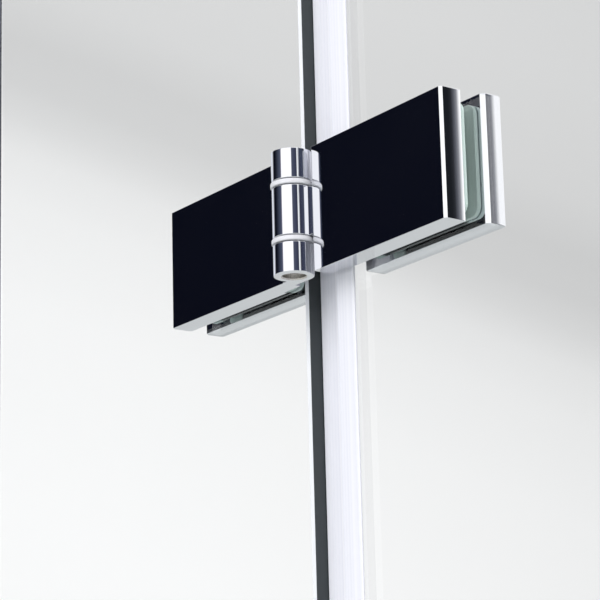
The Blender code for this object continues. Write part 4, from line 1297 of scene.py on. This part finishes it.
@dataclass
class DoorHandle:
    """The bent round bar outside the door, its bolts, and the round caps inside."""

    bend: float = 22 * MM
    radius: float = 8.5 * MM
    bend_steps: int = 16
    sides: int = 48
    cap_bore: float = 5 * MM
    bolt_play: float = 0.6 * MM
    soft: float = 1.0 * MM

    def build(self) -> None:
        """Makes the bar, then a bolt and a cap at each end."""
        self.bar()
        for end in ("top", "bottom"):
            self.bolt(f"handle_bolt_{end}")
            self.cap(f"handle_cap_{end}", f"handle_bolt_{end}")

    def bar(self) -> None:
        """Carries a circle along the bar's centre line.

        The line is two standoffs and a grip joined by two bends. At each of its points the circle lies in
        the plane of the x direction and the line's own normal, so the rings never twist.
        """
        low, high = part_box("handle_bar")
        top, bottom = middle("handle_bolt_top").z, middle("handle_bolt_bottom").z
        out = low.y + self.radius
        corners = [(high.y, bottom), (out, bottom), (out, top), (high.y, top)]
        line = rounded(corners, [0, self.bend, self.bend, 0], self.bend_steps, closed=False)
        ahead = unit(np.diff(line, axis=0))
        along = unit(np.concatenate([ahead[:1], ahead[:-1] + ahead[1:], ahead[-1:]]))
        angle = 2 * math.pi * (np.arange(self.sides) + 0.5) / self.sides
        lift = self.radius * np.sin(angle)
        rings = np.empty((len(line), self.sides, 3))
        rings[..., 0] = middle("handle_bolt_top").x + self.radius * np.cos(angle)
        rings[..., 1] = line[:, :1] - along[:, 1:] * lift
        rings[..., 2] = line[:, 1:] + along[:, :1] * lift
        Piece.through("handle_bar_bent", CHROME, rings).show(Body.DOOR, "handle_bar")

    def bolt(self, node: str) -> None:
        """Makes the threaded bolt through the glass, drawn as a plain rod with chamfered ends."""
        low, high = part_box(node)
        half, radius = (high.y - low.y) / 2, (high.x - low.x) / 2
        corners = [(0, -half), (radius, -half), (radius, half), (0, half)]
        profile = rounded(corners, [0, self.soft / 2, self.soft / 2, 0], 1)
        bolt = Piece.turned(f"{node}_turned", STEEL, profile, middle(node), Axis.Y, self.sides // 2)
        bolt.show(Body.DOOR, node)

    def cap(self, node: str, bolt: str) -> None:
        """Makes the cap that hides the bolt's inner end."""
        low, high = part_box(node)
        at = middle(node)
        deep, radius = high.y - low.y, (high.x - low.x) / 2
        bolt_low, bolt_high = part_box(bolt)
        bore = (bolt_high.x - bolt_low.x) / 2 + self.bolt_play
        corners = [(0, self.cap_bore), (bore, self.cap_bore), (bore, 0)]
        corners += [(radius, 0), (radius, deep), (0, deep)]
        profile = rounded(corners, [0, 0, 0, self.soft / 3, self.soft, 0], 5)
        cap = Piece.turned(f"{node}_turned", CHROME, profile, (at.x, low.y, at.z), Axis.Y, self.sides)
        cap.show(Body.DOOR, node)


@dataclass
class HeaderBar:
    """The round bar over the door, from a clamp on the fixed pane to one on the side pane."""

    wall: float = 7 * MM
    soft: float = 0.8 * MM
    sides: int = 64

    def build(self) -> None:
        """Makes the bar and the two clamps."""
        low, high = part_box("header_bar")
        half, radius = (high.x - low.x) / 2, (high.z - low.z) / 2
        corners = [(0, -half), (radius, -half), (radius, half), (0, half)]
        profile = rounded(corners, [0, self.soft, self.soft, 0])
        at = middle("header_bar")
        bar = Piece.turned("header_bar_drawn", CHROME, profile, at, Axis.X, self.sides)
        bar.show(Body.CABIN, "header_bar")
        self.clamp("header_clamp_front", "fixed_panel_glass", Axis.X, at, radius)
        self.clamp("header_clamp_side", "side_panel_glass", Axis.Y, at, radius)

    def clamp(self, node: str, pane: str, axis: Axis, bar: Vector, radius: float) -> None:
        """Makes a clamp that sits astride a pane's top edge, with a socket for the bar.

        Args:
            node: The solid that it replaces.
            pane: The pane that it grips.
            axis: The direction that the pane's top edge runs in.
            bar: The bar's centre.
            radius: The bar's radius.
        """
        low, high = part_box(node)
        glass_low, glass_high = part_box(pane)
        across, along = (1, 0) if axis is Axis.X else (0, 1)
        left, right = glass_low[across] - SEAT_GAP, glass_high[across] + SEAT_GAP
        roof = glass_high.z + SEAT_GAP
        corners = [(low[across], low.z), (left, low.z), (left, roof), (right, roof), (right, low.z),
                   (right + self.wall, low.z)]
        soft = [self.soft, self.soft / 3, 0, 0, self.soft / 3, self.soft]
        if high[across] > right + self.wall + SEAT_GAP:
            corners += [(right + self.wall, roof), (high[across], roof)]
            soft += [self.soft, self.soft]
        corners += [(high[across], high.z), (low[across], high.z)]
        soft += [self.soft * 1.5, self.soft * 1.5]
        clamp = Piece.extruded(f"{node}_cast", CHROME, rounded(corners, soft), low[along], high[along], axis,
                               self.soft / 2, 3)
        bore = radius + SEAT_GAP
        bar_low, bar_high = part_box("header_bar")
        if axis is Axis.X:
            start, end = bar_low.x - SEAT_GAP, high.x + OVERRUN
        else:
            start, end = low.x - OVERRUN, bar_high.x + SEAT_GAP
        socket = [(0, start - bar.x), (bore, start - bar.x), (bore, end - bar.x), (0, end - bar.x)]
        clamp.cut(Piece.turned("socket", CHROME, socket, bar, Axis.X, self.sides))
        clamp.show(Body.CABIN, node)


@dataclass
class Studio:
    """A pale floor, soft light, flags and soft boxes for the chrome to mirror, and the camera.

    Azimuths run from -180 to 180 degrees: 0 is towards -Y, the door's outside, and 90 towards +X.
    """

    floor_half: float = 60.0
    floor_drop: float = 0.2 * MM
    # The camera: where it stands, its yaw, pitch and roll in degrees, its lens and how far it sees.
    camera_place: tuple[float, float, float] = (0.6208, -0.9598, 1.4673)
    camera_yaw: float = 55.063
    camera_pitch: float = 14.818
    camera_roll: float = -1.474
    lens: float = 151.65
    sensor: float = 36.0
    clip: tuple[float, float] = (0.02, 400.0)
    # The backdrop's strength, that of what metal mirrors, and the white that lights what isn't metal.
    seen_strength: float = 1.19
    mirror_strength: float = 1.35
    fill: str = "#FAFAFC"
    # What metal mirrors by azimuth, and the even light that takes over where a direction's rise is steep.
    horizon: tuple[tuple[float, str], ...] = (
        (-180.0, "#FFFFFF"), (-136.0, "#FFFFFF"), (-134.0, "#0B0D17"), (-116.0, "#0B0D17"),
        (-113.0, "#D8DBE4"), (-82.0, "#DFE2EA"), (-72.0, "#8E9196"), (-67.5, "#80838A"),
        (-66.0, "#070913"), (-50.0, "#0B0D17"), (-40.0, "#20242F"), (-12.0, "#484E60"),
        (-7.0, "#7A7885"), (-3.5, "#FFFFFF"), (52.5, "#FFFFFF"), (56.0, "#4A4F60"),
        (84.0, "#303244"), (86.5, "#EEF1F1"), (94.5, "#EEF1F1"), (97.0, "#3A3F50"),
        (122.0, "#3A3F4C"), (126.0, "#191B1F"), (132.0, "#1B1D21"), (133.4, "#52545B"),
        (134.8, "#5C5E66"), (136.2, "#FFFFFF"),
    )
    overhead: str = "#F2F2F4"
    overhead_from: tuple[float, float] = (0.55, 0.75)
    # The backdrop: how far its line is turned and dropped in the view, and its colours by degrees above it.
    dusk_turn: float = 21.3
    dusk_drop: float = 1.2
    dusk_half: float = 8.0
    dusk: tuple[tuple[float, str], ...] = (
        (-8.0, "#FBFBFB"), (-3.6, "#F7F7F7"), (-1.5, "#F1F1F1"), (-0.4, "#EAEAEA"), (0.4, "#DDDDDD"),
        (1.1, "#D5D5D5"), (2.0, "#D3D3D3"), (3.2, "#DBDBDB"), (5.7, "#DFDFDF"),
    )
    # How much the backdrop is lightened at the left and dimmed at the right, that many degrees aside.
    aside_half: float = 6.75
    aside_shades: tuple[float, float] = (1.04, 0.87)
    # The key light: its sides in metres, its watts, where it hangs and what it points at.
    light_size: float = 2.4
    light_power: float = 90
    light_place: tuple[float, float, float] = (1.8, -2.6, 3.6)
    light_aim: tuple[float, float, float] = (0.0, 0.0, 1.0)

    def build(self) -> None:
        """Sets the floor, the surroundings, the key light and the camera."""
        self.floor()
        self.surroundings()
        self.key_light()
        self.camera()

    def floor(self) -> None:
        """Makes the floor that the tray stands on."""
        half = self.floor_half
        corners = [(x, y, -self.floor_drop) for x, y in rectangle((-half, -half), (half, half)).tolist()]
        mesh = bpy.data.meshes.new("studio_floor")
        mesh.from_pydata(corners, [], [(0, 1, 2, 3)])
        mesh.materials.append(FLOOR.material())
        floor = bpy.data.objects.new("studio_floor", mesh)
        bpy.context.scene.collection.objects.link(floor)

    def surroundings(self) -> None:
        """Makes the world: a plain gradient seen directly, flags and soft boxes seen in reflections."""
        world = bpy.data.worlds.new("studio")
        bpy.context.scene.world = world
        world.use_nodes = True
        tree = world.node_tree
        tree.nodes.clear()
        way = add_node(tree, "ShaderNodeTexCoord", {}).outputs["Generated"]
        mirrored = self.mirrored(tree, way)
        seen = self.backdrop(tree, way)
        plain, fill, mirror = (
            add_node(tree, "ShaderNodeBackground", {"Color": colour, "Strength": strength}).outputs[0]
            for colour, strength in (
                (seen, self.seen_strength), (linear(self.fill), 1.0), (mirrored, self.mirror_strength),
            )
        )
        path = add_node(tree, "ShaderNodeLightPath", {})
        bounced = maths(tree, "MINIMUM", path.outputs["Glossy Depth"], 1.0)
        unbounced = maths(tree, "SUBTRACT", 1.0, bounced)
        undiffused = maths(tree, "SUBTRACT", 1.0, path.outputs["Is Diffuse Ray"])
        seen_rays = (path.outputs["Is Camera Ray"], path.outputs["Is Transmission Ray"])
        straight = maths(tree, "MAXIMUM", *seen_rays)
        mirror_share = maths(tree, "MULTIPLY", bounced, undiffused)
        plain_share = maths(tree, "MULTIPLY", straight, unbounced)
        unseen = add_node(tree, "ShaderNodeMixShader", {0: mirror_share, 1: fill, 2: mirror}).outputs[0]
        both = add_node(tree, "ShaderNodeMixShader", {0: plain_share, 1: unseen, 2: plain}).outputs[0]
        add_node(tree, "ShaderNodeOutputWorld", {"Surface": both})

    def mirrored(self, tree: bpy.types.NodeTree, way: bpy.types.NodeSocket) -> bpy.types.NodeSocket:
        """What a reflection shows: flags and soft boxes by azimuth, and an even light overhead.

        Args:
            tree: The world's node tree.
            way: The direction looked in.

        Returns:
            The colour.
        """
        split = add_node(tree, "ShaderNodeSeparateXYZ", {0: way})
        outward = maths(tree, "MULTIPLY", split.outputs["Y"], -1.0)
        azimuth = maths(tree, "ARCTAN2", split.outputs["X"], outward)
        turn = portion(tree, azimuth, -math.pi, math.pi)
        around = self.ramp(tree, turn, [((angle + 180) / 360, code) for angle, code in self.horizon])
        over = portion(tree, split.outputs["Z"], *self.overhead_from)
        return blend(tree, over, around, linear(self.overhead))

    def ramp(self, tree: bpy.types.NodeTree, share: bpy.types.NodeSocket,
             stops: Sequence[tuple[float, str]]) -> bpy.types.NodeSocket:
        """A colour ramp through stops given in rising order."""
        node = add_node(tree, "ShaderNodeValToRGB", {"Fac": share})
        elements = node.color_ramp.elements
        elements.remove(elements[1])
        elements[0].position = stops[0][0]
        elements[0].color = linear(stops[0][1])
        for position, code in stops[1:]:
            elements.new(position).color = linear(code)
        return node.outputs["Color"]

    def backdrop(self, tree: bpy.types.NodeTree, way: bpy.types.NodeSocket) -> bpy.types.NodeSocket:
        """A plain pale gradient across a tilted line, a little darker towards the right.

        The dot product of the direction with the line's normal is the sine of the angle above the line, and
        the one with the level axis to the right is the sine of the angle aside.

        Args:
            tree: The world's node tree.
            way: The direction looked in.

        Returns:
            The colour.
        """
        right, up, ahead = self.axes()
        turn, drop = math.radians(self.dusk_turn), math.radians(self.dusk_drop)
        normal = (right * math.sin(turn) + up * math.cos(turn)) * math.cos(drop) - ahead * math.sin(drop)
        dots = [
            add_node(tree, "ShaderNodeVectorMath", {0: way, 1: course}, operation="DOT_PRODUCT")
            for course in (normal, right)
        ]
        height, aside = (dot.outputs["Value"] for dot in dots)
        half = math.sin(math.radians(self.dusk_half))
        rise = portion(tree, height, -half, half)
        stops = [((angle / self.dusk_half + 1) / 2, code) for angle, code in self.dusk]
        colour = self.ramp(tree, rise, stops)
        half = math.sin(math.radians(self.aside_half))
        shade = portion(tree, aside, -half, half, *self.aside_shades)
        sockets = {0: colour, "Scale": shade}
        return add_node(tree, "ShaderNodeVectorMath", sockets, operation="SCALE").outputs[0]

    def key_light(self) -> None:
        """A wide soft box over the front right, which the chrome doesn't mirror."""
        lamp = bpy.data.lights.new("soft_box", "AREA")
        lamp.shape = "RECTANGLE"
        lamp.size = lamp.size_y = self.light_size
        lamp.energy = self.light_power
        light = bpy.data.objects.new("soft_box", lamp)
        light.location = self.light_place
        aim = Vector(self.light_aim) - light.location
        light.rotation_euler = aim.to_track_quat("-Z", "Y").to_euler()
        light.visible_glossy = False
        light.visible_camera = False
        light.visible_transmission = False
        bpy.context.scene.collection.objects.link(light)

    def axes(self) -> tuple[Vector, Vector, Vector]:
        """The photograph's right, up and ahead directions, from its yaw, pitch and roll."""
        yaw, pitch, roll = (math.radians(a) for a in (self.camera_yaw, self.camera_pitch, self.camera_roll))
        ahead = Vector((-math.sin(yaw) * math.cos(pitch), math.cos(yaw) * math.cos(pitch), math.sin(pitch)))
        level = Vector((math.cos(yaw), math.sin(yaw), 0))
        upright = level.cross(ahead)
        right = level * math.cos(roll) + upright * math.sin(roll)
        return right, upright * math.cos(roll) - level * math.sin(roll), ahead

    def camera(self) -> None:
        """Sets the camera at the photograph's angle, a step away from the upper hinge, looking up at it."""
        right, up, ahead = self.axes()
        lens = bpy.data.cameras.new("camera")
        lens.lens = self.lens
        lens.sensor_width = self.sensor
        lens.clip_start, lens.clip_end = self.clip
        camera = bpy.data.objects.new("camera", lens)
        turn = Matrix((right, up, -ahead)).transposed().to_4x4()
        camera.matrix_world = Matrix.Translation(self.camera_place) @ turn
        bpy.context.scene.collection.objects.link(camera)
        bpy.context.scene.camera = camera


@dataclass
class ShowerCabin:
    """The whole cabin, made of its sub-assemblies."""

    hinges: tuple[str, ...] = ("upper", "lower")

    def build(self) -> None:
        """Makes every sub-assembly."""
        screws = [f"{prefix}_door_screw_{place}" for prefix in self.hinges for place in ("inner", "outer")]
        Tray().build()
        Waste().build()
        WallProfiles().build()
        FloorRails().build()
        fixed_screws = [name.replace("door", "fixed") for name in screws]
        handle_bolts = ["handle_bolt_top", "handle_bolt_bottom"]
        GlassPane("fixed_panel_glass", Body.CABIN, 1, fixed_screws).build()
        GlassPane("side_panel_glass", Body.CABIN, 0).build()
        GlassPane("door_glass", Body.DOOR, 1, screws + handle_bolts).build()
        EdgeSeals().build()
        for prefix in self.hinges:
            BarrelHinge(prefix).build()
        DoorHandle().build()
        HeaderBar().build()


def main() -> None:
    """Builds the cabin and the studio."""
    logging.basicConfig(level=logging.INFO, format="%(name)s: %(message)s")
    bpy.context.scene.view_settings.view_transform = "Standard"
    ShowerCabin().build()
    Studio().build()


if __name__ == "__main__":
    main()
